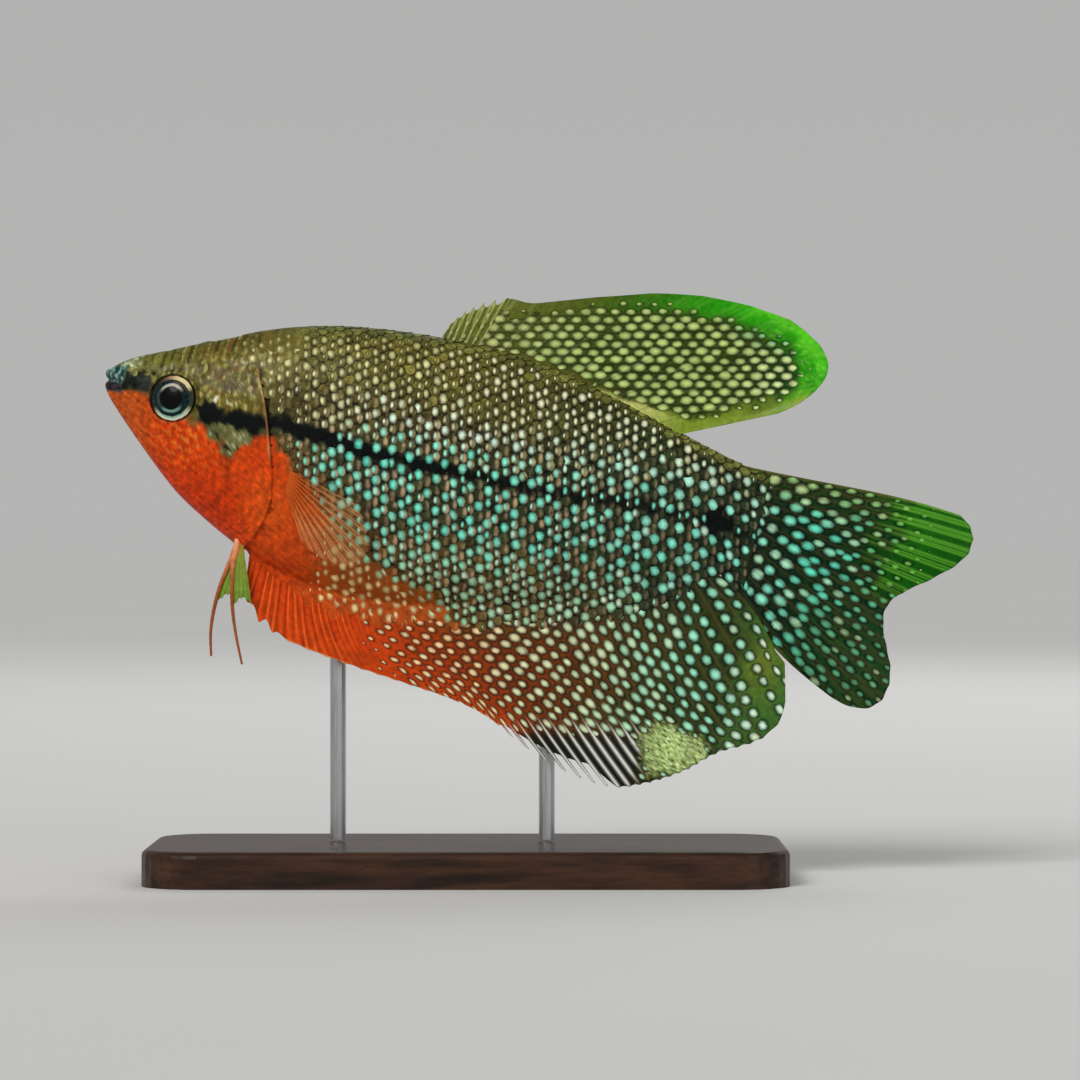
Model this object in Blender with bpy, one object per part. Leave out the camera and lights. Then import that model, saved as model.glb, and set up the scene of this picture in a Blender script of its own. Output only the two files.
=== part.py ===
"""A pearl gourami, life size, as a still model held by two short rods on a flat base.

Metres, +Z up. The fish looks towards -X and is pitched nose up. Its own frame has its
origin at the tip of the snout, +X back along the body, +Z towards the back and -Y to
the fish's left side. The world's origin lies under the middle, on the base's underside.
"""

import math

import bmesh
import bpy
from mathutils import Vector

MM = 0.001
GAP = 0.3 * MM  # left between nodes that touch

# The whole fish, in its own frame.
PITCH = math.radians(13.5)
SNOUT_HEIGHT = 69.3 * MM  # above the base's underside
SNOUT_AHEAD = 60.0 * MM  # ahead of the world's origin
BODY_LENGTH = 88.3 * MM  # snout to the root of the tail fin
STALK_START = 70.0 * MM

# Outlines of the body as (distance from the snout, value), in millimetres.
BACK_LINE = [(0.5, 1.6), (1.6, 2.6), (3.6, 3.9), (7.7, 5.8), (13.8, 8.8), (20, 11.7), (26.3, 13.8),
             (34, 15.3), (43.6, 16.3), (52, 16.5), (60.8, 15.7), (70, 13.7), (79, 11.3), (84, 10.0), (88.3, 9.1)]
BELLY_LINE = [(0.5, -1.7), (1.6, -3.0), (6, -7.1), (12.4, -12.5), (16.4, -15), (22.7, -18.1), (30, -20.7),
              (38, -21.9), (47, -21.3), (57, -19.3), (67.2, -16.5), (76, -13.3), (82, -10.4), (88.3, -6.4)]
HALF_WIDTH = [(0.5, 0.95), (2, 1.6), (5, 2.8), (9.4, 4.1), (15, 5.6), (22, 6.7), (30, 7.3), (38, 7.4),
              (48, 6.9), (58, 6.0), (68, 4.7), (78, 3.1), (84, 2.1), (88.3, 1.15)]
WIDEST_LINE = [(0.5, -0.4), (9.4, -0.4), (20, -2.6), (30, -3.8), (48, -3.0), (68, -1.0), (88.3, 1.3)]
# Exponent of the cross section above and below its widest line, where it narrows to a keel at the fins.
UPPER_FULLNESS = [(0.5, 0.92), (36, 0.94), (52, 1.08), (88.3, 1.15)]
LOWER_FULLNESS = [(0.5, 1.12), (26, 1.15), (44, 1.5), (88.3, 1.55)]

# The gill opening, by the sine of the angle round the body.
GILL_REAR = 26.4 * MM
GILL_REAR_SINE = -0.45
GILL_SWEEP_UP = 5.6 * MM
GILL_SWEEP_DOWN = 8.6 * MM
COVER_FRONT, COVER_CORNER = 0.64, 0.24  # share of the way from the snout to the gill opening
COVER_LOW, COVER_HIGH = math.radians(-66), math.radians(30)
COVER_THICKNESS = 1.2 * MM
COVER_RISE = 0.45 * MM

EYE_X, EYE_Z = 9.98 * MM, -0.6 * MM
EYE_RADIUS, EYE_DEPTH = 3.08 * MM, 1.75 * MM
EYE_PROUD = 0.75 * MM  # how far the eye stands out of the head

MOUTH_CORNER = (3.5 * MM, -0.25 * MM)
MOUTH_TIP = (0.46 * MM, -0.12 * MM)
LOWER_LIP_REACH = 0.87  # share of the upper lip's
MOUTH_HALF_WIDTH = 1.45 * MM
LIP_RADIUS = 0.7 * MM
LIP_GAP = 0.3 * MM
NOSTRILS = ((5.0 * MM, 2.0 * MM, 0.38 * MM), (6.5 * MM, 2.1 * MM, 0.3 * MM))  # x, z, radius

# Fins: share along the base, then where that ray ends, in millimetres.
DORSAL_BASE = (43.8 * MM, 79.1 * MM)
DORSAL_EDGE = [(0, 44.7, 18.7), (0.05, 46.2, 20.7), (0.10, 48.4, 22.4), (0.15, 51.5, 23.9), (0.21, 54.6, 23.7),
               (0.28, 59.2, 25.3), (0.36, 64.9, 27.2), (0.46, 72.6, 29.5), (0.56, 80.0, 30.5), (0.65, 86.3, 30.4),
               (0.73, 91.0, 29.7), (0.80, 94.4, 27.9), (0.86, 96.9, 25.5), (0.92, 96.6, 22.4), (0.96, 95.0, 19.6),
               (1, 91.6, 16.9)]
DORSAL_SPINES, DORSAL_SOFT_RAYS, DORSAL_SPINE_SHARE = 6, 10, 0.15

ANAL_BASE = (25.0 * MM, 88.0 * MM)
ANAL_EDGE = [(0, 25.3, -22.2), (0.025, 26.2, -25.6), (0.05, 28.5, -28.0), (0.08, 31.2, -29.1), (0.12, 35.6, -30.0),
             (0.19, 43.2, -30.9), (0.268, 50.6, -31.5), (0.338, 57.0, -32.1), (0.397, 62.3, -33.3),
             (0.457, 68.3, -36.1), (0.514, 75.1, -38.2), (0.587, 81.3, -38.7), (0.659, 85.6, -37.2),
             (0.751, 90.4, -34.3), (0.841, 94.4, -30.7), (0.929, 99.9, -27.3), (0.962, 101.9, -23.8),
             (0.985, 101.5, -19.9), (1, 100.5, -16.4)]
ANAL_SPINES, ANAL_SOFT_RAYS, ANAL_SPINE_SHARE = 13, 27, 0.32

CAUDAL_TOP, CAUDAL_BOTTOM = 8.8 * MM, -6.2 * MM
CAUDAL_EDGE = [(0, 119.6, 9.2), (0.08, 121.6, 7.9), (0.16, 122.3, 5.6), (0.24, 121.4, 2.9), (0.33, 117.5, -0.7),
               (0.42, 113.6, -3.8), (0.50, 112.4, -6.4), (0.58, 113.4, -9.9), (0.68, 115.3, -13.8),
               (0.78, 115.4, -17.6), (0.86, 113.8, -19.9), (0.93, 110.3, -20.4), (1, 106.3, -18.8)]
CAUDAL_RAYS = 16
CAUDAL_BOW_TOP, CAUDAL_BOW_BOTTOM = 0.5 * MM, -1.1 * MM
CAUDAL_SWAY = 2.4 * MM  # how far the tail fin's edge is swept to the fish's right

PECTORAL_ROOT = (28.3 * MM, -8.0 * MM)
PECTORAL_ROOT_HEIGHT = 3.0 * MM
PECTORAL_LENGTH = 15.0 * MM
PECTORAL_SLOPE = math.radians(-34)
PECTORAL_SPREAD = math.radians(24)  # from the middle ray to the outer ones
PECTORAL_FLARE = 2.6 * MM
PECTORAL_RAYS = 10

PELVIC_HALF_GAP = 1.6 * MM
PELVIC_THREADS = {  # left is the near one in a view of the fish's left side
    "left": [(23.1, -17.6), (23.2, -20.6), (23.8, -24.0), (24.7, -27.3), (26.0, -30.6), (27.6, -34.0)],
    "right": [(23.0, -17.6), (22.5, -21.0), (22.0, -24.4), (21.9, -27.7), (22.2, -30.9), (23.0, -34.0)],
}
THREAD_ROOT_RADIUS, THREAD_TIP_RADIUS = 0.5 * MM, 0.25 * MM
PELVIC_WEB_LENGTH, PELVIC_WEB_WIDTH = 9.6 * MM, 2.8 * MM

MEMBRANE = 0.5 * MM
RAY_RISE = 0.2 * MM  # of each ridge over the membrane, on each face
ROOT_THICKNESS = 1.1 * MM

# The stand.
BASE_LENGTH, BASE_WIDTH, BASE_HEIGHT = 88 * MM, 42 * MM, 5 * MM
BASE_CENTRE_X = -10 * MM
BASE_CORNER, BASE_EDGE = 8 * MM, 0.9 * MM
ROD_RADIUS, ROD_SIDE = 1.1 * MM, 2.8 * MM  # rods stand on the fish's right of its anal fin
ROD_FRONT_X, ROD_REAR_X = -28 * MM, 1 * MM


def curve_through(points, at):
    """Value of a smooth curve through (position, value) pairs, at one position."""
    at = min(max(at, points[0][0]), points[-1][0])
    k = next(i for i in range(len(points) - 1) if at <= points[i + 1][0])

    def slope(i):
        low, high = max(i - 1, 0), min(i + 1, len(points) - 1)
        return (points[high][1] - points[low][1]) / (points[high][0] - points[low][0])

    (x0, y0), (x1, y1) = points[k], points[k + 1]
    span = x1 - x0
    t = (at - x0) / span
    return ((2 * t**3 - 3 * t**2 + 1) * y0 + (t**3 - 2 * t**2 + t) * span * slope(k)
            + (3 * t**2 - 2 * t**3) * y1 + (t**3 - t**2) * span * slope(k + 1))


def body_line(line, x):
    return curve_through(line, x / MM) * MM


def section_point(x, angle):
    """(half width, height) of the body's surface at x, at an angle from the widest line."""
    sine = math.sin(angle)
    middle = body_line(WIDEST_LINE, x)
    end, fullness = (BACK_LINE, UPPER_FULLNESS) if sine > 0 else (BELLY_LINE, LOWER_FULLNESS)
    reach = abs(body_line(end, x) - middle)
    power = curve_through(fullness, x / MM)
    return body_line(HALF_WIDTH, x) * max(math.cos(angle), 0) ** power, middle + reach * sine


def underbelly(x, y):
    """Height of the body's underside at a distance y from its middle plane."""
    across = min(abs(y) / body_line(HALF_WIDTH, x), 1) ** (1 / curve_through(LOWER_FULLNESS, x / MM))
    middle = body_line(WIDEST_LINE, x)
    return middle - (middle - body_line(BELLY_LINE, x)) * math.sqrt(1 - across**2)


def flank(x, z):
    """Half width of the body at a point of its side view, or None outside it."""
    middle = body_line(WIDEST_LINE, x)
    end, fullness = (BACK_LINE, UPPER_FULLNESS) if z > middle else (BELLY_LINE, LOWER_FULLNESS)
    sine = (z - middle) / abs(body_line(end, x) - middle)
    if abs(sine) >= 1:
        return None
    return body_line(HALF_WIDTH, x) * (1 - sine**2) ** (curve_through(fullness, x / MM) / 2)


def gill_line(angle):
    """Distance from the snout of the gill opening, at an angle round the body."""
    from_rear = math.sin(angle) - GILL_REAR_SINE
    if from_rear > 0:
        return GILL_REAR - GILL_SWEEP_UP * from_rear**1.3
    return GILL_REAR - GILL_SWEEP_DOWN * from_rear**2


def material(name, colour, roughness, metallic=0.0):
    made = bpy.data.materials.new(name)
    made.use_nodes = True
    shader = made.node_tree.nodes["Principled BSDF"]
    shader.inputs["Base Color"].default_value = (*colour, 1)
    shader.inputs["Roughness"].default_value = roughness
    shader.inputs["Metallic"].default_value = metallic
    return made


def mesh_object(name, points, faces, look=None, parent=None, smooth=True):
    """A closed mesh from points and faces, with its faces turned outwards."""
    mesh = bpy.data.meshes.new(name)
    mesh.from_pydata([tuple(p) for p in points], [], faces)
    work = bmesh.new()
    work.from_mesh(mesh)
    bmesh.ops.recalc_face_normals(work, faces=work.faces)
    if work.calc_volume(signed=True) < 0:
        bmesh.ops.reverse_faces(work, faces=work.faces)
    work.to_mesh(mesh)
    work.free()
    if smooth:
        mesh.shade_smooth()
        mesh.set_sharp_from_angle(angle=math.radians(40))
    made = bpy.data.objects.new(name, mesh)
    bpy.context.scene.collection.objects.link(made)
    if look:
        mesh.materials.append(look)
    if parent:
        made.parent = parent
    return made


def loft(name, rings, look=None, parent=None):
    """A closed tube through rings of points, each end closed to a point at its middle."""
    count = len(rings[0])
    points = [p for ring in rings for p in ring]
    faces = []
    for r in range(len(rings) - 1):
        for i in range(count):
            a, b = r * count + i, r * count + (i + 1) % count
            c, d = b + count, a + count
            faces += [(a, b, c), (a, c, d)]
    for ring, first in ((rings[0], 0), (rings[-1], (len(rings) - 1) * count)):
        points.append(sum((Vector(p) for p in ring), Vector()) / count)
        hub = len(points) - 1
        faces += [(hub, first + i, first + (i + 1) % count) for i in range(count)]
    return mesh_object(name, points, faces, look, parent)


def plate(name, near, far, look=None, parent=None):
    """A closed plate between two grids of points, both split into triangles alike."""
    rows, columns = len(near), len(near[0])
    points = [p for grid in (near, far) for row in grid for p in row]
    half = rows * columns
    faces = []
    for r in range(rows - 1):
        for c in range(columns - 1):
            a = r * columns + c
            b, d = a + 1, a + columns
            e = d + 1
            faces += [(a, b, e), (a, e, d), (half + b, half + a, half + e), (half + e, half + a, half + d)]
    rim = ([c for c in range(columns)] + [r * columns + columns - 1 for r in range(1, rows)]
           + [(rows - 1) * columns + c for c in range(columns - 2, -1, -1)]
           + [r * columns for r in range(rows - 2, 0, -1)])
    for i, a in enumerate(rim):
        b = rim[(i + 1) % len(rim)]
        faces += [(b, a, half + a), (b, half + a, half + b)]
    return mesh_object(name, points, faces, look, parent)


def combine(target, others, operation):
    """Applies one Boolean of a closed mesh with several others, which are then removed."""
    group = bpy.data.collections.new(target.name + "_tools")
    bpy.context.scene.collection.children.link(group)
    for other in others:
        bpy.context.scene.collection.objects.unlink(other)
        group.objects.link(other)
        other.parent = target.parent
    modifier = target.modifiers.new(operation, "BOOLEAN")
    modifier.operation = operation
    modifier.operand_type = "COLLECTION"
    modifier.collection = group
    bpy.context.view_layer.update()
    graph = bpy.context.evaluated_depsgraph_get()
    made = bpy.data.meshes.new_from_object(target.evaluated_get(graph))
    target.modifiers.clear()
    target.data = made
    for other in others:
        bpy.data.objects.remove(other)
    bpy.data.collections.remove(group)
    keep_largest(target)


def keep_largest(target):
    """Leaves only the closed surface with the most faces."""
    work = bmesh.new()
    work.from_mesh(target.data)
    left, shells = set(work.faces), []
    while left:
        shell, front = set(), [left.pop()]
        while front:
            face = front.pop()
            shell.add(face)
            near = {f for edge in face.edges for f in edge.link_faces} & left
            left -= near
            front += near
        shells.append(shell)
    largest = max(shells, key=len)
    bmesh.ops.delete(work, geom=[f for f in work.faces if f not in largest], context="FACES")
    bmesh.ops.triangulate(work, faces=work.faces)
    work.to_mesh(target.data)
    work.free()


def body_ring(station_x, sides):
    """One closed ring round the body, where station_x gives x for each angle."""
    ring = []
    for i in range(sides):
        turn = 2 * math.pi * (i + 0.5) / sides
        angle = math.asin(math.sin(turn))
        x = station_x(angle)
        y, z = section_point(x, angle)
        ring.append((x, y if math.cos(turn) > 0 else -y, z))
    return ring


def head_x(share, angle):
    """Distance from the snout at a share of the way from the snout to the gill opening."""
    snout = 0.5 * MM
    straight = snout + (GILL_REAR - snout) * share
    return straight + (gill_line(angle) - GILL_REAR) * share**2


def make_head(look, parent):
    sides, stations = 36, 14
    rings = [body_ring(lambda angle, s=(k / stations) ** 1.25: head_x(s, angle), sides)
             for k in range(stations + 1)]
    head = loft("head", rings, look, parent)
    combine(head, [make_lip(side) for side in (1, -1)], "UNION")
    cutters = [make_eye(f"socket_{side}", side, GAP) for side in (1, -1)]
    cutters += [make_nostril(x, z, radius, side) for x, z, radius in NOSTRILS for side in (1, -1)]
    cutters += [make_cover(f"recess_{side}", side, GAP) for side in (1, -1)]
    combine(head, cutters, "DIFFERENCE")
    head.data.shade_smooth()
    head.data.set_sharp_from_angle(angle=math.radians(40))


def make_lip(side):
    """One lip, a tapered roll round the mouth: side 1 is the upper, -1 the lower."""
    corner = Vector((MOUTH_CORNER[0], 0, MOUTH_CORNER[1]))
    tip = Vector((MOUTH_TIP[0], 0, MOUTH_TIP[1]))
    ahead = (tip - corner) * (1 if side > 0 else LOWER_LIP_REACH)
    up = Vector((-ahead.z, 0, ahead.x)).normalized() * -1
    rings, steps, sides = [], 14, 8
    for k in range(steps + 1):
        turn = math.pi * (k / steps - 0.5)
        radius = LIP_RADIUS * (0.45 + 0.55 * math.cos(turn))
        middle = corner + ahead * math.cos(turn) + Vector((0, MOUTH_HALF_WIDTH * math.sin(turn), 0))
        middle += up * side * (radius + LIP_GAP / 2)
        out = (ahead.normalized() * math.cos(turn) + Vector((0, math.sin(turn), 0))).normalized()
        rings.append([middle + (out * math.cos(a) + up * math.sin(a)) * radius
                      for a in (2 * math.pi * i / sides for i in range(sides))])
    return loft(f"lip_{side}", rings)


def eye_middle(side):
    surface = flank(EYE_X, EYE_Z)
    return Vector((EYE_X, side * (surface + EYE_PROUD - EYE_DEPTH), EYE_Z))


def make_eye(name, side, swell=0.0, look=None, parent=None):
    """A flattened ball; swell makes the socket that it sits in."""
    rings, segments = 9, 18
    middle, radius, depth = eye_middle(side), EYE_RADIUS + swell, EYE_DEPTH + swell
    levels = [math.pi * (k / rings - 0.5) for k in range(1, rings)]
    loops = [[middle + Vector((radius * math.cos(a) * math.cos(t), side * depth * math.sin(a),
                               radius * math.cos(a) * math.sin(t)))
              for t in (2 * math.pi * i / segments for i in range(segments))] for a in levels]
    return loft(name, loops, look, parent)


def make_nostril(x, z, radius, side):
    surface = flank(x, z)
    rings = [[Vector((x + radius * math.cos(t), side * (surface + rise), z + radius * math.sin(t)))
              for t in (2 * math.pi * i / 8 for i in range(8))] for rise in (-0.9 * MM, 0.8 * MM)]
    return loft("nostril", rings)


def make_cover(name, side, swell=0.0, look=None, parent=None):
    """The gill cover, a bony plate in the head's side; swell makes the recess it lies in."""
    low, high = COVER_LOW - swell / (12 * MM), COVER_HIGH + swell / (12 * MM)
    front = COVER_FRONT - swell / GILL_REAR
    inner, outer = (-COVER_THICKNESS - swell, 3 * MM) if swell else (-COVER_THICKNESS, None)
    rows, columns = 12, 6
    grids = []
    for depth, rear in ((inner, 1.05 if swell else 0.95), (outer, 1.05 if swell else 0.985)):
        grid = []
        for r in range(rows + 1):
            angle = low + (high - low) * r / rows
            first = front + COVER_CORNER * abs(2 * r / rows - 1) ** 3
            line = []
            for c in range(columns + 1):
                x = head_x(first + (rear - first) * c / columns, angle)
                y, z = section_point(x, angle)
                across = math.sin(math.pi * r / rows) ** 0.5
                rise = depth if depth is not None else COVER_RISE * across * (c / columns) ** 1.5
                normal = body_normal(x, angle)
                line.append(Vector((x, side * (y + rise * normal.y), z + rise * normal.z)))
            grid.append(line)
        grids.append(grid)
    return plate(name, grids[0], grids[1], look, parent)


def body_normal(x, angle):
    """Outward direction of the body's section, on the side of +Y."""
    step = 0.02
    y0, z0 = section_point(x, max(angle - step, -math.pi / 2))
    y1, z1 = section_point(x, min(angle + step, math.pi / 2))
    return Vector((0, z1 - z0, y0 - y1)).normalized()


def make_torso(look, parent):
    sides, stations = 36, 16

    def station(share):
        def at(angle):
            start = gill_line(angle) + GAP
            return start + (STALK_START - start) * share
        return at

    loft("torso", [body_ring(station(k / stations), sides) for k in range(stations + 1)], look, parent)


def make_stalk(look, parent):
    sides, stations = 32, 8
    start = STALK_START + GAP
    rings = [body_ring(lambda angle, x=start + (BODY_LENGTH - start) * k / stations: x, sides)
             for k in range(stations + 1)]
    loft("tail_stalk", rings, look, parent)


def ray_columns(rays, ridge_share):
    """(share along the base, ridge weight) for each column of a fin's grid."""
    columns = []
    for i, at in enumerate(rays):
        before = rays[i] - rays[i - 1] if i else rays[1] - rays[0]
        after = rays[i + 1] - rays[i] if i + 1 < len(rays) else before
        if i:
            columns.append((at - before * ridge_share, 0.0))
        columns.append((at, 1.0))
        if i + 1 < len(rays):
            columns.append((at + after * ridge_share, 0.0))
    return columns


def fin(name, rays, root_at, edge_at, look, parent, rows, ridge_share=0.26, bow=None, sway=None, scallop=None,
        middle_y=0.0, root=ROOT_THICKNESS):
    """A fin as one closed plate: a membrane with its rays raised as ridges on both faces."""
    near, far = [], []
    columns = ray_columns(rays, ridge_share)
    for r in range(rows + 1):
        share = r / rows
        near_row, far_row = [], []
        for at, weight in columns:
            start, end = Vector(root_at(at)), Vector(edge_at(at))
            reach = share * (1 - (scallop(at) if scallop and not weight else 0))
            point = start + (end - start) * reach
            if bow:
                along = (end - start).normalized()
                point += Vector((-along.z, 0, along.x)) * bow(at, reach)
            point.y += middle_y + (sway(at, reach) if sway else 0)
            fade = (1 - share) ** 3
            half = (MEMBRANE + (root - MEMBRANE) * fade) / 2 * (1 - 0.35 * share**4)
            half += weight * RAY_RISE * (1 - 0.6 * share)
            near_row.append(point - Vector((0, half, 0)))
            far_row.append(point + Vector((0, half, 0)))
        near.append(near_row)
        far.append(far_row)
    return plate(name, near, far, look, parent)


def edge_curve(edge):
    """A fin's outer edge as a function of the share along its base."""
    xs, zs = [(u, x) for u, x, _ in edge], [(u, z) for u, _, z in edge]
    return lambda at: Vector((curve_through(xs, at) * MM, 0, curve_through(zs, at) * MM))


def spread_rays(spines, soft_rays, spine_share):
    """Shares along a fin's base of its close-set spines and then its soft rays."""
    front = [spine_share * i / spines for i in range(spines)]
    return front + [spine_share + (1 - spine_share) * i / (soft_rays - 1) for i in range(soft_rays)]


def make_dorsal_fin(look, parent):
    first, last = DORSAL_BASE

    def root(at):
        x = first + (last - first) * at
        return (x, 0, body_line(BACK_LINE, x) + GAP)

    rays = spread_rays(DORSAL_SPINES, DORSAL_SOFT_RAYS, DORSAL_SPINE_SHARE)
    fin("dorsal_fin", rays, root, edge_curve(DORSAL_EDGE), look, parent, rows=6,
        sway=lambda at, reach: -1.2 * MM * reach**2 * at,
        scallop=lambda at: 0.10 if at < DORSAL_SPINE_SHARE else 0.012)


def make_anal_fin(look, parent):
    first, last = ANAL_BASE

    def root(at):
        x = first + (last - first) * at
        return (x, 0, body_line(BELLY_LINE, x) - GAP)

    rays = spread_rays(ANAL_SPINES, ANAL_SOFT_RAYS, ANAL_SPINE_SHARE)
    fin("anal_fin", rays, root, edge_curve(ANAL_EDGE), look, parent, rows=5,
        sway=lambda at, reach: -0.7 * MM * reach**2 * (1 + math.sin(9 * at)) * at,
        scallop=lambda at: 0.12 if at < 0.08 else 0.05 if at < 0.42 else 0.11 if at < 0.58 else 0.03)


def make_caudal_fin(look, parent):
    start = BODY_LENGTH + GAP

    def root(at):
        return (start, 0, CAUDAL_TOP + (CAUDAL_BOTTOM - CAUDAL_TOP) * at)

    def bow(at, reach):
        most = CAUDAL_BOW_TOP * (1 - at) + CAUDAL_BOW_BOTTOM * at
        return most * math.sin(math.pi * reach ** (1.8 - 0.6 * at))

    rays = [i / (CAUDAL_RAYS - 1) for i in range(CAUDAL_RAYS)]
    fin("caudal_fin", rays, root, edge_curve(CAUDAL_EDGE), look, parent, rows=7,
        bow=bow,
        sway=lambda at, reach: CAUDAL_SWAY * reach**2,
        scallop=lambda at: 0.015, root=2.0 * MM)


def make_pectoral_fin(side, look, parent):
    name = "left" if side < 0 else "right"
    height = PECTORAL_ROOT_HEIGHT

    def root(at):
        return (PECTORAL_ROOT[0], 0, PECTORAL_ROOT[1] + height * (0.5 - at))

    def edge(at):
        angle = PECTORAL_SLOPE + PECTORAL_SPREAD * (1 - 2 * at)
        length = PECTORAL_LENGTH * (1 - 0.42 * abs(2 * at - 0.85) ** 1.6)
        start = Vector(root(at))
        return start + Vector((math.cos(angle), 0, math.sin(angle))) * length

    def stand_off(at, reach):
        start, end = Vector(root(at)), edge(at)
        point = start + (end - start) * reach
        clear = GAP + MEMBRANE / 2 + RAY_RISE + PECTORAL_FLARE * reach**1.3
        return side * (flank(point.x, point.z) + clear)

    rays = [i / (PECTORAL_RAYS - 1) for i in range(PECTORAL_RAYS)]
    fin(f"pectoral_fin_{name}", rays, root, edge, look, parent, rows=5, sway=stand_off,
        scallop=lambda at: 0.03, root=MEMBRANE)


def make_pelvic_fin(name, side, look, parent):
    """One pelvic fin: a long feeler, with a small web of short rays behind it."""
    line = [Vector((x * MM, side * PELVIC_HALF_GAP, z * MM)) for x, z in PELVIC_THREADS[name]]
    steps, sides, rings = 20, 8, []
    xs = [(i, p.x) for i, p in enumerate(line)]
    zs = [(i, p.z) for i, p in enumerate(line)]
    for k in range(steps + 1):
        at = (len(line) - 1) * k / steps
        middle = Vector((curve_through(xs, at), side * PELVIC_HALF_GAP, curve_through(zs, at)))
        radius = THREAD_ROOT_RADIUS + (THREAD_TIP_RADIUS - THREAD_ROOT_RADIUS) * k / steps
        ring = [middle + Vector((math.cos(a), math.sin(a), 0)) * radius
                for a in (2 * math.pi * i / sides for i in range(sides))]
        if k == 0:
            for point in ring:
                point.z = underbelly(point.x, point.y) - GAP
        rings.append(ring)
    thread = loft(f"pelvic_fin_{name}", rings, look, parent)

    def root(at):
        x = line[0].x + 1.0 * MM * at
        return (x, 0, underbelly(x, PELVIC_HALF_GAP - 0.4 * MM) - GAP)

    def edge(at):
        down = PELVIC_WEB_LENGTH * (1 - 0.12 * math.sin(math.pi * at) - 0.12 * at)
        depth = (len(line) - 1) * down / (line[0].z - line[-1].z)
        return Vector((curve_through(xs, depth) + PELVIC_WEB_WIDTH * at, 0, line[0].z - down))

    web = fin(f"web_{name}", [0, 1 / 3, 2 / 3, 1], root, edge, None, None, rows=4,
              scallop=lambda at: 0.06, middle_y=side * PELVIC_HALF_GAP, root=MEMBRANE)
    combine(thread, [web], "UNION")


def make_base(look):
    work = bmesh.new()
    bmesh.ops.create_cube(work, size=1)
    bmesh.ops.scale(work, vec=(BASE_LENGTH, BASE_WIDTH, BASE_HEIGHT), verts=work.verts)
    bmesh.ops.translate(work, vec=(BASE_CENTRE_X, 0, BASE_HEIGHT / 2), verts=work.verts)
    upright = [e for e in work.edges if abs(e.verts[0].co.z - e.verts[1].co.z) > BASE_HEIGHT / 2]
    bmesh.ops.bevel(work, geom=upright, offset=BASE_CORNER, segments=7, affect="EDGES", profile=0.5)
    top = [e for e in work.edges if all(v.co.z > BASE_HEIGHT * 0.9 for v in e.verts) and len(e.link_faces) == 2
           and any(f.normal.z < 0.5 for f in e.link_faces)]
    bmesh.ops.bevel(work, geom=top, offset=BASE_EDGE, segments=3, affect="EDGES", profile=0.5)
    bmesh.ops.triangulate(work, faces=work.faces)
    mesh = bpy.data.meshes.new("stand_base")
    work.to_mesh(mesh)
    work.free()
    mesh.materials.append(look)
    mesh.shade_smooth()
    mesh.set_sharp_from_angle(angle=math.radians(40))
    base = bpy.data.objects.new("stand_base", mesh)
    bpy.context.scene.collection.objects.link(base)


def underside(x, y):
    """World height at which a vertical line through (x, y) first meets the fish's body."""
    z, step = BASE_HEIGHT, 0.05 * MM
    while z < SNOUT_HEIGHT:
        ahead, up = x + SNOUT_AHEAD, z - SNOUT_HEIGHT
        own_x = ahead * math.cos(PITCH) - up * math.sin(PITCH)
        own_z = ahead * math.sin(PITCH) + up * math.cos(PITCH)
        half = flank(own_x, own_z)
        if half is not None and y < half:
            return z
        z += step
    raise ValueError("this rod misses the body")


def make_rod(name, x, look):
    """A straight rod from the base to the belly, its top cut to the body's slope."""
    sides = 12
    corners = [(x + ROD_RADIUS * math.cos(t), ROD_SIDE + ROD_RADIUS * math.sin(t))
               for t in (2 * math.pi * i / sides for i in range(sides))]
    foot = [(cx, cy, BASE_HEIGHT + GAP) for cx, cy in corners]
    head = [(cx, cy, underside(cx, cy) - GAP) for cx, cy in corners]
    loft(name, [foot, head], look)


def main():
    for old in list(bpy.data.objects):
        bpy.data.objects.remove(old)
    fish = bpy.data.objects.new("fish", None)
    bpy.context.scene.collection.objects.link(fish)
    fish.location = (-SNOUT_AHEAD, 0, SNOUT_HEIGHT)
    fish.rotation_euler = (0, PITCH, 0)

    head_look = material("head_skin", (0.62, 0.20, 0.06), 0.4)
    body_look = material("pearl_skin", (0.33, 0.40, 0.30), 0.35)
    eye_look = material("eye", (0.03, 0.05, 0.05), 0.1)
    dorsal_look = material("dorsal_membrane", (0.30, 0.42, 0.12), 0.45)
    anal_look = material("anal_membrane", (0.50, 0.24, 0.10), 0.45)
    caudal_look = material("caudal_membrane", (0.12, 0.36, 0.20), 0.45)
    clear_look = material("pectoral_membrane", (0.75, 0.33, 0.10), 0.4)
    feeler_look = material("feeler", (0.60, 0.26, 0.10), 0.45)
    wood_look = material("stand_wood", (0.05, 0.035, 0.028), 0.4)
    steel_look = material("stand_steel", (0.55, 0.55, 0.56), 0.3, 1.0)

    make_head(head_look, fish)
    for name, side in (("left", -1), ("right", 1)):
        make_cover(f"gill_cover_{name}", side, 0.0, head_look, fish)
        make_eye(f"eye_{name}", side, 0.0, eye_look, fish)
        make_pectoral_fin(side, clear_look, fish)
        make_pelvic_fin(name, side, feeler_look, fish)
    make_torso(body_look, fish)
    make_stalk(body_look, fish)
    make_dorsal_fin(dorsal_look, fish)
    make_anal_fin(anal_look, fish)
    make_caudal_fin(caudal_look, fish)
    make_base(wood_look)
    make_rod("stand_rod_front", ROD_FRONT_X, steel_look)
    make_rod("stand_rod_rear", ROD_REAR_X, steel_look)


main()
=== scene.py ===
"""Looks of the pearl gourami model: skin, scales, fins, eyes, stand, floor, light and camera.

Shapes are worked out in millimetres in the fish's own frame (origin at the tip of the
snout, +X back along the body, +Z towards the back, -Y the left side) and then turned
into the frame of the solids.
"""

import math

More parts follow.
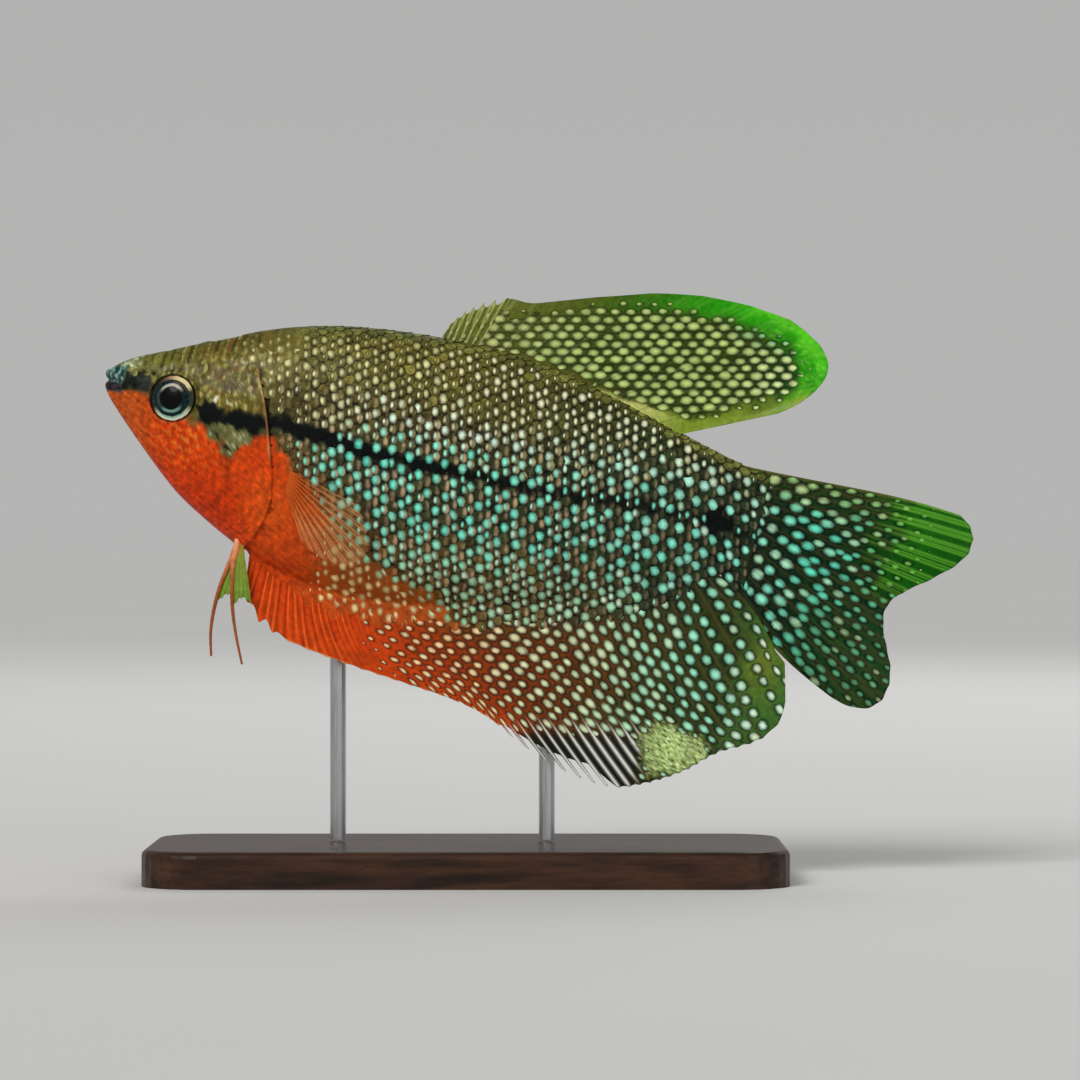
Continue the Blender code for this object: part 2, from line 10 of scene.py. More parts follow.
import bpy
import numpy as np
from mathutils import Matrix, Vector


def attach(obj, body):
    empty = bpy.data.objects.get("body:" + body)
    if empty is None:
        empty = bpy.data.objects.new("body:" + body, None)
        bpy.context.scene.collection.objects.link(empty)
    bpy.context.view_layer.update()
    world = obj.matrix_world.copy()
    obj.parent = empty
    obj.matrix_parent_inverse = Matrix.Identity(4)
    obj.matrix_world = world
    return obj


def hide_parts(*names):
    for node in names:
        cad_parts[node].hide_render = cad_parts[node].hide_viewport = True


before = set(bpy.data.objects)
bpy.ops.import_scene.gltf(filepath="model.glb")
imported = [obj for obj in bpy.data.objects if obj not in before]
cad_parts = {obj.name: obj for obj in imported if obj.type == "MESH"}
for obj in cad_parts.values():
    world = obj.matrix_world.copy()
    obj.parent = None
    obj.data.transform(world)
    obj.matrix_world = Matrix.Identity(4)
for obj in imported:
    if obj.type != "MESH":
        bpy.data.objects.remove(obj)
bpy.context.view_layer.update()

MM = 0.001
PIXEL, PHOTO_SIDE, SNOUT_PIXEL = 0.1384, 1080, (106, 378)  # of the photo: size in millimetres, side, snout
PITCH = math.radians(13.5)
SNOUT_HEIGHT, SNOUT_AHEAD = 69.3, 60.0

# Body, as in the solids, with the skin drawn out over the root of the tail fin.
BACK_LINE = [(0.5, 1.6), (1.6, 2.6), (3.6, 3.9), (7.7, 5.8), (13.8, 8.8), (20, 11.7), (26.3, 13.8), (34, 15.3),
             (43.6, 16.3), (52, 16.5), (60.8, 15.7), (70, 13.7), (79, 11.3), (84, 10.0), (88.3, 9.1), (93.5, 8.7)]
BELLY_LINE = [(0.5, -1.7), (1.6, -3.0), (6, -7.1), (12.4, -12.5), (16.4, -15), (22.7, -18.1), (30, -20.7),
              (38, -21.9), (47, -21.3), (57, -19.3), (67.2, -16.5), (76, -13.3), (82, -10.4), (88.3, -6.5),
              (93.5, -10.2)]
HALF_WIDTH = [(0.5, 0.95), (2, 1.6), (5, 2.8), (9.4, 4.1), (15, 5.6), (22, 6.7), (30, 7.3), (38, 7.4),
              (48, 6.9), (58, 6.0), (68, 4.7), (78, 3.1), (84, 2.1), (88.3, 1.15), (91, 0.6), (93.5, 0.22)]
WIDEST_LINE = [(0.5, -0.4), (9.4, -0.4), (20, -2.6), (30, -3.8), (48, -3.0), (68, -1.0), (88.3, 1.3), (93.5, -0.6)]
UPPER_FULLNESS = [(0.5, 0.92), (36, 0.94), (52, 1.08), (88.3, 1.15), (93.5, 1.1)]
LOWER_FULLNESS = [(0.5, 1.12), (26, 1.15), (44, 1.5), (88.3, 1.55), (93.5, 1.3)]
SKIN_START, SKIN_END = 0.5, 92.6

GILL_REAR, GILL_REAR_SINE = 26.4, -0.45
GILL_SWEEP_UP, GILL_SWEEP_DOWN = 5.6, 8.6
COVER_LOW, COVER_HIGH = math.radians(-66), math.radians(32)
PREOPERCLE = [(13.6, -2.6), (16.8, -4.0), (19.4, -7.0), (20.3, -10.8), (18.6, -14.2)]

EYE_X, EYE_Z, EYE_RADIUS, EYE_DOME = 9.98, -0.6, 3.2, 0.92
NOSTRILS = [(5.0, 2.0, 0.3), (6.5, 2.1, 0.24)]
MOUTH_CORNER, MOUTH_TIP = (3.5, -0.25), (0.46, -0.12)
MOUTH_HALF_WIDTH, LIP_RADIUS, LIP_GAP, LOWER_LIP_REACH = 1.45, 0.7, 0.22, 0.87

# Fins: share along the base, then where that ray ends.
DORSAL_BASE = (43.8, 79.1)
DORSAL_EDGE = [(0, 44.7, 18.7), (0.05, 46.2, 20.7), (0.10, 48.4, 22.4), (0.15, 51.5, 23.9), (0.21, 54.6, 23.7),
               (0.28, 59.2, 25.3), (0.36, 64.9, 27.2), (0.46, 72.6, 29.5), (0.56, 80.0, 30.5), (0.65, 86.3, 30.4),
               (0.73, 91.0, 29.7), (0.80, 94.4, 27.9), (0.86, 96.9, 25.5), (0.92, 96.6, 22.4), (0.96, 95.0, 19.6),
               (1, 91.6, 16.9)]
ANAL_BASE = (25.0, 88.0)
ANAL_EDGE = [(0, 25.3, -22.2), (0.025, 26.2, -25.6), (0.05, 28.5, -28.0), (0.08, 31.2, -29.1), (0.12, 35.6, -30.0),
             (0.19, 43.2, -30.9), (0.268, 50.6, -31.5), (0.338, 57.0, -32.1), (0.397, 62.3, -33.3),
             (0.457, 68.3, -36.1), (0.514, 75.1, -38.2), (0.587, 81.3, -38.7), (0.659, 85.6, -37.2),
             (0.751, 90.4, -34.3), (0.841, 94.4, -30.7), (0.929, 99.9, -27.3), (0.962, 101.9, -23.8),
             (0.985, 101.5, -19.9), (1, 100.5, -16.4)]
CAUDAL_ROOT, CAUDAL_TOP, CAUDAL_BOTTOM = 88.6, 8.8, -6.2
CAUDAL_EDGE = [(0, 119.6, 9.2), (0.08, 121.6, 7.9), (0.16, 122.3, 5.6), (0.24, 121.4, 2.9), (0.33, 117.5, -0.7),
               (0.42, 113.6, -3.8), (0.50, 112.4, -6.4), (0.58, 113.4, -9.9), (0.68, 115.3, -13.8),
               (0.78, 115.4, -17.6), (0.86, 113.8, -19.9), (0.93, 110.3, -20.4), (1, 106.3, -18.8)]
PECTORAL_ROOT, PECTORAL_ROOT_HEIGHT, PECTORAL_LENGTH = (28.3, -8.0), 3.0, 15.0
PECTORAL_SLOPE, PECTORAL_SPREAD, PECTORAL_FLARE = math.radians(-34), math.radians(24), 2.6
PELVIC_HALF_GAP = 1.6
PELVIC_THREADS = {
    "left": [(23.1, -17.6), (23.2, -20.6), (23.8, -24.0), (24.7, -27.3), (26.0, -30.6), (27.6, -34.0)],
    "right": [(23.0, -17.6), (22.5, -21.0), (22.0, -24.4), (21.9, -27.7), (22.2, -30.9), (23.0, -34.0)],
}

# Places of a fin's columns of points in each gap between two rays.
FINE_GAPS = (0, 0.035, 0.08, 0.14, 0.22, 0.34, 0.5, 0.66, 0.78, 0.86, 0.92, 0.965)
COARSE_GAPS = (0, 0.05, 0.13, 0.3, 0.5, 0.7, 0.87, 0.95)
THREAD_LENGTH = 0.13  # of the anal fin's free ray ends, as a share of the ray
FIN_DEPTH = ([25, 36, 50, 60, 68, 80, 88], [7, 9, 12, 17, 20, 18, 12])
FIN_ROOT_RISE = 2.5  # how far above the belly line the body begins to thin to the anal fin

# Scales: columns along the body, rows along the arc of each section.
SCALE_PITCH_X, SCALE_PITCH_ARC = 1.22, 1.48
SCALE_START, SCALE_LEAN = 12.6, 0.24
SCALE_LONG, SCALE_BROAD, SCALE_THICKNESS = 2.3, 1.9, 0.06
SCALE_GROWTH = ([SCALE_START - 3, 24, 82, 90, 92.8], [0.7, 1.0, 1.0, 0.8, 0.62])
COAT_DEPTH, BAKE_PATCH = 0.2, 0.003

# Lines of the markings: the side line of the scales; the stripe's height over it, its width and
# its darkness along the body; the upper limit of the orange, and how softly it ends.
STRIPE = [(2.8, 0.7), (6.1, 0.6), (12.8, -1.2), (15.8, -1.4), (22.5, -1.2), (27.7, -0.55), (34.2, -0.6),
          (44.8, -0.65), (52, -0.75), (59.1, -0.65), (64.1, -0.5), (72.4, 0.2), (78.7, 0.5), (87, 0.2), (93.5, -0.6)]
STRIPE_JOG = 0.5
STRIPE_SAG = ([21, 23, 24.5, 27, 33, 36, 46, 50, 60, 66, 72],
              [0, -0.25, 0, -0.4, -0.35, -0.9, -1.0, -0.6, -0.65, -0.35, -0.3])
STRIPE_WIDTH = ([12, 16.3, 17.4, 18.4, 19.4, 22.6, 23.6, 25.5, 30, 60, 80, 93],
                [1.0, 1.05, 0.65, 0.8, 1.14, 1.2, 0.85, 0.9, 1.0, 0.74, 0.64, 0.4])
STRIPE_SHARE = ([12, 15, 52, 66, 76, 88, 93], [1, 1, 1, 0.85, 0.7, 0.5, 0.2])
ORANGE_TOP = [(0.5, -1.7), (2, -1.35), (4.3, -0.7), (6, -0.95), (10, -2.5), (12.7, -2.9), (15, -3.6), (17.5, -5.2),
              (19.6, -6.4), (21.3, -4.4), (22.8, -2.7), (24.9, -2.6), (26.9, -5.0), (28.4, -6.7), (30, -8.3),
              (32.7, -10.1), (35.5, -12.2), (43, -16.6), (53.6, -19.8), (93.5, -40)]
ORANGE_SOFT = ([0, 8, 22, 25, 30, 50, 93], [0.35, 0.6, 0.8, 1.1, 2.2, 2.6, 2.0])

LIGHT_AIM = (0.0, 0.0, 0.045)


# ---- small helpers ----


def curve(points, at, column=1):
    """Smooth curve through points, at any array of positions."""
    table = np.array(points, float)
    xs, ys = table[:, 0], table[:, column]
    index = np.arange(len(xs))
    low, high = np.maximum(index - 1, 0), np.minimum(index + 1, len(xs) - 1)
    slope = (ys[high] - ys[low]) / (xs[high] - xs[low])
    at = np.clip(np.asarray(at, float), xs[0], xs[-1])
    k = np.clip(np.searchsorted(xs, at, side="left") - 1, 0, len(xs) - 2)
    span = xs[k + 1] - xs[k]
    t = (at - xs[k]) / span
    return ((2 * t**3 - 3 * t**2 + 1) * ys[k] + (t**3 - 2 * t**2 + t) * span * slope[k]
            + (3 * t**2 - 2 * t**3) * ys[k + 1] + (t**3 - t**2) * span * slope[k + 1])


def step(low, high, value):
    """Smooth step from 0 at low to 1 at high."""
    t = np.clip((np.asarray(value, float) - low) / (high - low), 0, 1)
    return t * t * (3 - 2 * t)


def bell(value, width):
    return np.exp(-((np.asarray(value, float) / width) ** 2))


def blend(base, *coats):
    """Lays coats of colour over a base, each given as its colour and its share."""
    for colour, share in coats:
        share = np.asarray(share, float)[..., None]
        base = np.asarray(base, float) * (1 - share) + np.asarray(colour, float) * share
    return base


def ripple(x, z, length, seed=0):
    """Smooth random waves of about -1 to 1, of a given wavelength in millimetres."""
    draw = np.random.default_rng(100 + seed)
    total = np.zeros(np.shape(x))
    for _ in range(14):
        turn, phase = draw.uniform(0, 2 * math.pi, 2)
        pace = 2 * math.pi / (length * draw.uniform(0.6, 1.7))
        total += np.cos((x * math.cos(turn) + z * math.sin(turn)) * pace + phase)
    return total / 3.7


def flecks(low, high, x, z, length, seed):
    """Scattered patches where the waves rise from low to high."""
    return step(low, high, ripple(x, z, length, seed))


def linear(colour):
    """Scene-linear colour of 0 to 255 display values."""
    c = np.clip(np.asarray(colour, float) / 255, 0, 1)
    return np.where(c <= 0.04045, c / 12.92, ((c + 0.055) / 1.055) ** 2.4)


def hue(*display):
    return (*[float(v) for v in linear(display)], 1.0)


def paint(colour, share):
    """Four columns: a scene-linear colour and a share."""
    share = np.broadcast_to(share, colour.shape[:-1])
    return np.concatenate([linear(colour), share[..., None]], -1)


def unit(vectors):
    return vectors / np.maximum(np.linalg.norm(vectors, axis=-1, keepdims=True), 1e-9)


def build(name, points, faces, material, nodes=(), colours=None, maps=None, crisp=False):
    """A smooth mesh piece, with its attributes, riding on the root body."""
    x, y, z = np.asarray(points, float).reshape(-1, 3).T
    c, s = math.cos(PITCH), math.sin(PITCH)
    placed = np.stack([x * c + z * s - SNOUT_AHEAD, y, z * c - x * s + SNOUT_HEIGHT], 1) * MM
    mesh = bpy.data.meshes.new(name)
    mesh.from_pydata(placed.tolist(), [], [list(map(int, f)) for f in faces])
    for key, values in (colours or {}).items():
        mesh.color_attributes.new(key, "FLOAT_COLOR", "POINT").data.foreach_set("color", np.ravel(values))
    corner = np.zeros(len(mesh.loops), int)
    mesh.loops.foreach_get("vertex_index", corner)
    for key, values in (maps or {}).items():
        mesh.uv_layers.new(name=key).data.foreach_set("uv", np.ravel(values[corner]))
    mesh.materials.append(material)
    mesh.shade_smooth()
    if crisp:
        mesh.set_sharp_from_angle(angle=math.radians(50))
    piece = bpy.data.objects.new(name, mesh)
    bpy.context.scene.collection.objects.link(piece)
    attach(piece, "root")
    if nodes:
        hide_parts(*nodes)


def grid_faces(rows, columns, first=0, flip=False, wrap=False):
    faces = []
    for r in range(rows - 1):
        for c in range(columns if wrap else columns - 1):
            a, b = first + r * columns + c, first + r * columns + (c + 1) % columns
            quad = (a, b, b + columns, a + columns)
            faces.append(quad[::-1] if flip else quad)
    return faces


def leaf_faces(rows, columns):
    """Two grids of points, one after the other, joined at their rims to a closed leaf."""
    total = rows * columns
    rim = ([c for c in range(columns)] + [r * columns + columns - 1 for r in range(1, rows)]
           + [(rows - 1) * columns + c for c in range(columns - 2, -1, -1)]
           + [r * columns for r in range(rows - 2, 0, -1)])
    return (grid_faces(rows, columns) + grid_faces(rows, columns, total, flip=True)
            + [(b, a, total + a, total + b) for a, b in zip(rim, rim[1:] + rim[:1])])


def tube_faces(rows, columns):
    """A tube of rings, closed at its ends to the two points that follow the last ring."""
    last, hub = (rows - 1) * columns, rows * columns
    turns = [(c, (c + 1) % columns) for c in range(columns)]
    return (grid_faces(rows, columns, wrap=True) + [(hub, b, a) for a, b in turns]
            + [(hub + 1, last + a, last + b) for a, b in turns])


# ---- materials ----


def add_node(tree, kind, given=(), out=0, **settings):
    """Adds a shader node with its inputs set or linked; hands back one of its outputs, or all."""
    made = tree.nodes.new("ShaderNode" + kind)
    for key, value in settings.items():
        setattr(made, key, value)
    for key, value in given.items() if isinstance(given, dict) else enumerate(given):
        give(made.inputs[key], value)
    return [Value(socket) for socket in made.outputs] if out is None else Value(made.outputs[out])


def give(socket, value):
    if isinstance(value, Value):
        socket.id_data.links.new(value.socket, socket)
    elif value is not None:
        socket.default_value = value


class Value:
    """The output of a shader node; reckoning with it adds more nodes."""

    def __init__(self, socket):
        self.socket = socket

    def then(self, kind, given=(), out=0, **settings):
        return add_node(self.socket.id_data, kind, given, out, **settings)

    def math(self, operation, *others, clamp=False):
        return self.then("Math", (self, *others), operation=operation, use_clamp=clamp)

    def __add__(self, other):
        return self.math("ADD", other)

    def __sub__(self, other):
        return self.math("SUBTRACT", other)

    def __mul__(self, other):
        return self.math("MULTIPLY", other)

    def __truediv__(self, other):
        return self.math("DIVIDE", other)

    def fit(self, gain, offset):
        return self.math("MULTIPLY_ADD", gain, offset)

    def most(self, other):
        return self.math("MAXIMUM", other)

    def far(self, other):
        """Length of the vector of two values."""
        return (self * self + other * other).math("SQRT")

    def step(self, low, high):
        return self.then("MapRange", (self, low, high, 0.0, 1.0), interpolation_type="SMOOTHSTEP")

    def between(self, low, low_full, high_full, high):
        """1 from low_full to high_full, and 0 from low down and from high up."""
        return self.step(low, low_full) * self.step(high, high_full)

    def mix(self, a, b):
        """From colour a to colour b, as this value goes from 0 to 1."""
        return self.then("Mix", {0: self, 6: a, 7: b}, 2, data_type="RGBA")

    def brighten(self, colour, low, high):
        """A colour multiplied by low to high, as this value goes from 0 to 1."""
        factor = self.fit(high - low, low)
        return self.then("VectorMath", {0: colour, "Scale": factor}, operation="SCALE")

    def parts(self, kind="Color"):
        return self.then("Separate" + kind, (self,), None)


class Look:
    """A material and short ways to begin its nodes."""

    def __init__(self, name, roughness=0.4, coat=0.0, coat_roughness=0.1, metallic=0.0):
        self.material = bpy.data.materials.new(name)
        self.material.use_nodes = True
        self.tree = self.material.node_tree
        self.set("Roughness", roughness)
        self.set("Coat Weight", coat)
        self.set("Coat Roughness", coat_roughness)
        self.set("Metallic", metallic)
        self.set("IOR", 1.38)
        self.set("Specular IOR Level", 0.11)

    def set(self, socket, value):
        give(self.tree.nodes["Principled BSDF"].inputs[socket], value)

    def add(self, kind, given=(), out=0, **settings):
        return add_node(self.tree, kind, given, out, **settings)

    def colour(self, key):
        return self.add("VertexColor", (), None, layer_name=key)

    def map(self, key):
        return self.add("UVMap", uv_map=key)

    def place(self, scale=None):
        """Positions on the piece, stretched by the inverse of a scale."""
        place = self.add("TexCoord", (), "Object")
        return place if scale is None else self.add("Mapping", {0: place, "Scale": scale})

    def noise(self, scale, detail=3, place=None, roughness=0.5):
        return self.add("TexNoise", {"Vector": place or self.place(), "Scale": scale, "Detail": detail,
                                     "Roughness": roughness})

    def ragged(self, scale, spread):
        return self.noise(scale, 2).fit(spread, -spread / 2)

    def grainy(self, colour, share, fine, scale):
        """A colour varied by a fine and a broad noise, as strongly as share says."""
        shade = fine * 0.6 + self.noise(scale * 0.22) * 0.4
        return (shade - 0.5).fit(share, 0.5).step(0.2, 0.8).brighten(colour, 0.15, 1.85)

    def bump(self, height, strength, distance, normal=None):
        return self.add("Bump", {"Strength": strength, "Distance": distance, "Height": height, "Normal": normal})

    def pearls(self, jitter):
        """Distance from the nearest pearl (1 at its edge) and random values for it."""
        where = self.map("lattice")
        _, chance, nearest, *_ = self.add("TexVoronoi", {"Vector": where, "Scale": 1.0, "Randomness": jitter}, None,
                                          voronoi_dimensions="2D", feature="F1")
        a, b, _ = self.add("VectorMath", (where, nearest), operation="SUBTRACT").parts("XYZ")
        row, last = self.colour("spot")
        m11, m12, m21 = row.parts()
        across, along = a.fit(m11, b * m12), a.fit(m21, b * last)
        return across.far(along) + self.ragged(2400, 0.5), chance.parts()


def pearl_matrix(pitch_u, pitch_v, radius_u, radius_v, turn=0.0):
    """How a step on the sheared lattice counts in units of a pearl's half axes."""
    pu, pv, ru, rv, turn = np.broadcast_arrays(pitch_u, pitch_v, radius_u, radius_v, turn)
    c, s = np.cos(turn), np.sin(turn)
    # (da, db) is a step of (da - db) across and (da + db) / 2 along.
    return np.stack([(c * pu + s * pv / 2) / ru, (-c * pu + s * pv / 2) / ru,
                     (-s * pu + c * pv / 2) / rv, (s * pu + c * pv / 2) / rv], -1)


def skin_look():
    """Bare skin: the mesh's own colours, broken up by fine and broad grain."""
    look = Look("pearl_skin_wet", 0.4, 0.06, 0.15)
    ground, mottle = look.colour("ground")
    fine = look.noise(1700, 4, roughness=0.62)
    look.set("Base Color", look.grainy(ground, mottle, fine, 1700))
    look.set("Normal", look.bump(fine, 0.25, 0.00012))
    return look.material


def pattern_look(name, jitter=0.25, net=0.0, fleck=0.0, clear=None):
    """Fin membrane: ground, dark net and pearls from the mesh's own colours."""
    look = Look(name, 0.42, 0.06, 0.15)
    ground, mottle = look.colour("ground")
    pearl, size = look.colour("pearl")
    distance, chance = look.pearls(jitter)
    distance = distance / (size * chance[0].fit(0.3, 0.85)).most(0.05)
    there = size.step(0.08, 0.3)
    inside = distance.step(1.3, 0.5) * there
    around = distance.step(2.2, 1.0) * there
    fine = look.noise(1400, 4, roughness=0.62)
    base = around.brighten(look.grainy(ground, mottle, fine, 1400), 1.0, 1.0 - net)
    pale = chance[2].step(0.68, 0.8) * fleck
    spots = chance[1].brighten(pale.mix(pearl, hue(220, 218, 168)), 0.8, 1.12)
    # Each pearl is brightened towards its middle: a painted highlight on a pearl of real pale colour.
    spots = distance.step(1.0, 0.0).brighten(spots, 0.75, 1.25)
    rays, strength = look.colour("rays")
    look.set("Base Color", strength.mix(inside.mix(base, spots), rays))
    look.set("Roughness", inside.fit(-0.1, 0.42))
    look.set("Normal", look.bump(inside, 0.35, 0.00008, look.bump(fine, 0.25, 0.00012)))
    if clear is not None:
        look.set("Alpha", strength.math("MULTIPLY_ADD", 1.0 - clear, clear, clamp=True))
    return look.material


def scale_look():
    """One scale: a pearl on a dark ground with a soft tan mark behind it and a dark rear rim."""
    look = Look("pearl_scales", 0.4, 0.08, 0.15)
    ground, mottle = look.colour("ground")
    pearl, size = look.colour("pearl")
    mark, mark_share = look.colour("mark")
    a, b, _ = look.map("scale").parts("XYZ")
    a, b = a.fit(SCALE_LONG, -SCALE_LONG / 2), b.fit(SCALE_BROAD, -SCALE_BROAD / 2)
    ragged = look.ragged(2300, 0.7)

    def oval(middle, radius_a, radius_b):
        return ((a - middle) / radius_a).far(b / radius_b)

    # Small pearls are narrower for their height than large ones.
    grown = size.most(0.1)
    far = oval(0.38, grown.math("POWER", 1.35) * 0.46, grown.math("POWER", 0.65) * 0.62) + ragged
    there = size.step(0.08, 0.3)
    inside = far.step(1.4, 0.45) * there
    fine = look.noise(1700, 4, roughness=0.6)
    base = (fine - 0.5).fit(mottle, 0.5).step(0.2, 0.8).brighten(ground, 0.2, 1.8)
    rimmed = mottle.step(0.15, 0.55)
    base = (oval(0.10, 1.02, 0.86).step(0.72, 1.02) * rimmed).brighten(base, 1.0, 0.12)
    base = (far.step(2.2, 1.0) * there * rimmed).brighten(base, 1.0, 0.25)
    tan = (oval(there.fit(0.22, 0.58), 0.30, 0.80) + ragged).step(1.6, 0.1) * mark_share
    tan = tan * look.noise(700).step(0.32, 0.60)
    # Each pearl is brightened towards its middle: a painted highlight on a pearl of real pale colour.
    spots = far.step(1.05, 0.0).brighten(pearl, 0.72, 1.25)
    look.set("Base Color", inside.mix(tan.mix(base, mark), spots))
    look.set("Roughness", inside.fit(-0.12, 0.42))
    look.set("Normal", look.bump(fine, 0.2, 0.0001))
    return look.material


def eye_look():
    """Dark iris with pale arcs, the upper one a painted highlight just above the pupil, a pale outer ring in parts, and
    a black pupil.
    """
    look = Look("eye_gloss", 0.35, 0.1, 0.03)
    u, v, _ = look.map("disc").parts("XYZ")
    x, y = u.fit(2.0, -1.0), v.fit(2.0, -1.0)
    radius = x.far(y)
    r = radius + look.noise(1500).fit(0.06, -0.03)
    up, side = y / radius.most(0.01), x / radius.most(0.01)
    colour = look.noise(3800).step(0.3, 0.75).mix(hue(1, 5, 6), hue(16, 54, 52))
    # The pale cream arc just above the pupil is a painted highlight.
    top = up.step(0.35, 0.9) * r.between(0.47, 0.52, 0.58, 0.66)
    low = up.step(-0.55, -0.95) * r.between(0.50, 0.55, 0.61, 0.67)
    grey = side.step(-0.6, -0.95) * r.between(0.52, 0.57, 0.62, 0.70)
    for share, part in ((top * 0.85, (196, 190, 172)), (low * 0.8, (126, 170, 156)), (grey * 0.6, (74, 78, 82))):
        colour = share.mix(colour, hue(*part))
    facing = up.step(-0.35, -0.75).most(up.step(0.25, 0.6) * side.step(-0.75, 0.25))
    ring = r.between(0.77, 0.83, 0.94, 0.985) * facing.fit(0.92, 0.04)
    pale = side.step(-0.4, 0.5).mix(hue(172, 122, 92), hue(232, 216, 158))
    below = r.step(0.85, 0.90).mix(hue(150, 196, 176), hue(228, 226, 196))
    colour = ring.mix(colour, up.step(-0.3, -0.9).mix(pale, below))
    outer = r.between(0.68, 0.71, 0.74, 0.77) * (up.step(0.15, 0.7) * side.step(-0.1, 0.5))
    for share, part in ((outer * 0.6, (112, 62, 44)), (r.step(0.515, 0.465), (3, 2, 4)),
                        (r.step(0.955, 0.99), (14, 12, 8))):
        colour = share.mix(colour, hue(*part))
    look.set("Base Color", colour)
    return look.material


def wood_look():
    look = Look("stand_wood_dark", 0.4, 0.25, 0.25)
    place = look.place((1.0, 9.0, 9.0))
    pores = look.noise(420, 3, place, 0.7)
    colour = look.noise(60, 6, place, 0.65).step(0.3, 0.72).mix(hue(34, 22, 16), hue(74, 48, 33))
    look.set("Base Color", pores.step(0.62, 0.75).brighten(colour, 1.0, 0.5))
    look.set("Roughness", pores.fit(0.2, 0.3))
    look.set("Normal", look.bump(pores, 0.12, 0.0001))
    return look.material


def steel_look():
    look = Look("stand_steel_brushed", metallic=1.0)
    brush = look.noise(5200, 3, look.place((1.0, 1.0, 0.04)))
    look.set("Base Color", brush.mix(hue(150, 150, 152), hue(206, 206, 208)))
    look.set("Roughness", brush.fit(0.22, 0.2))
    look.set("Normal", look.bump(brush, 0.1, 0.00004))
    return look.material


# ---- body surface ----


def half_section(x, middle, upper):
    """Reach from the widest line up or down, and the fullness of that half."""
    reach = np.where(upper, curve(BACK_LINE, x) - middle, middle - curve(BELLY_LINE, x))
    return reach, np.where(upper, curve(UPPER_FULLNESS, x), curve(LOWER_FULLNESS, x))


def section(x, angle):
    """(y, z) of the body's surface; angles past a right angle lie on the other side."""
    sine, cosine, middle = np.sin(angle), np.cos(angle), curve(WIDEST_LINE, x)
    reach, full = half_section(x, middle, sine > 0)
    return curve(HALF_WIDTH, x) * np.sign(cosine) * np.abs(cosine) ** full, middle + reach * sine


def sine_at(x, z):
    """Sine of the angle round the body at a point of its side view, and the fullness there."""
    middle = curve(WIDEST_LINE, x)
    reach, full = half_section(x, middle, z > middle)
    return (z - middle) / np.maximum(reach, 0.01), full


def flank(x, z):
    """Half width of the body at a point of its side view."""
    sine, full = sine_at(x, z)
    return curve(HALF_WIDTH, x) * (1 - np.clip(np.abs(sine), 0, 0.999) ** 2) ** (full / 2)


def underbelly(x, y):
    across = np.minimum(abs(y) / curve(HALF_WIDTH, x), 1) ** (1 / curve(LOWER_FULLNESS, x))
    middle = curve(WIDEST_LINE, x)
    return middle - (middle - curve(BELLY_LINE, x)) * np.sqrt(1 - across**2)


def gill_line(angle):
    from_rear = np.sin(angle) - GILL_REAR_SINE
    return GILL_REAR - np.where(from_rear > 0, GILL_SWEEP_UP * np.abs(from_rear)**1.3, GILL_SWEEP_DOWN * from_rear**2)


def arc_table():
    """For each x, the angle round the body at each arc length up from the side stripe."""
    angles = np.radians(np.linspace(-90, 90, 361))
    table = []
    for x in TABLE_X:
        y, z = section(np.full_like(angles, x), angles)
        length = np.concatenate([[0], np.cumsum(np.hypot(np.diff(y), np.diff(z)))])
        length -= np.interp(curve(STRIPE, x), z, length)
        low, high = length[0], length[-1]
        turned = np.where(ARCS > high, 2 * high - ARCS, np.where(ARCS < low, 2 * low - ARCS, ARCS))
        found = np.interp(turned, length, angles)
        table.append(np.where(ARCS > high, math.pi - found, np.where(ARCS < low, -math.pi - found, found)))
    return np.array(table)


ARC_STEP, ARC_HALF, X_STEP = 0.1, 60.0, 0.25
ARCS = np.arange(-ARC_HALF, ARC_HALF + ARC_STEP, ARC_STEP)
TABLE_X = np.arange(SKIN_START, SKIN_END + 0.2, X_STEP)
ANGLE_AT = arc_table()
LOW_ARC, HIGH_ARC = ([np.interp(end * math.pi / 2, row, ARCS) for row in ANGLE_AT] for end in (-1, 1))


def surface(x, arc, side):
    """Points of the body's skin at x and an arc length up from the side stripe.

    Below the belly line they go on down the base of the anal fin."""
    fx = np.clip((x - SKIN_START) / X_STEP, 0, len(TABLE_X) - 1.001)
    fa = np.clip((arc + ARC_HALF) / ARC_STEP, 0, len(ARCS) - 1.001)
    i, j = fx.astype(int), fa.astype(int)
    u, v = fx - i, fa - j
    angle = ((ANGLE_AT[i, j] * (1 - u) + ANGLE_AT[i + 1, j] * u) * (1 - v)
             + (ANGLE_AT[i, j + 1] * (1 - u) + ANGLE_AT[i + 1, j + 1] * u) * v)
    y, z = section(x, angle)
    low = np.interp(x, TABLE_X, LOW_ARC)
    past = np.maximum(low - arc, 0)
    on_fin = (x > ANAL_BASE[0]) & (arc < low + FIN_ROOT_RISE)
    fin = 0.215 + 0.445 * np.clip(1 - past / np.interp(x, *FIN_DEPTH), 0, 1) ** 5
    widened = np.maximum(y, fin * step(low + FIN_ROOT_RISE, low + 0.8, arc))
    y = np.where(on_fin, np.where(past > 0, fin, widened), y)
    z = np.where(on_fin & (past > 0), curve(BELLY_LINE, x) - past, z)
    return np.stack([x, side * y, z], -1)


def line_distance(x, z, line):
    """Distance in the side view from a broken line."""
    best = np.full(np.shape(x), 1e9)
    for (x0, z0), (x1, z1) in zip(line, line[1:]):
        dx, dz = x1 - x0, z1 - z0
        t = np.clip(((x - x0) * dx + (z - z0) * dz) / (dx * dx + dz * dz), 0, 1)
        best = np.minimum(best, np.hypot(x - x0 - t * dx, z - z0 - t * dz))
    return best


# ---- colours of the body ----


def above_stripe(x, z):
    """Height over the side line of the scales; behind the gill opening it starts a little higher."""
    return z - curve(STRIPE, x) - STRIPE_JOG * bell(x - 25.2, 1.6)


def from_tail_spot(x, z):
    return np.hypot((x - 86.8) * 0.9, z - 0.3)


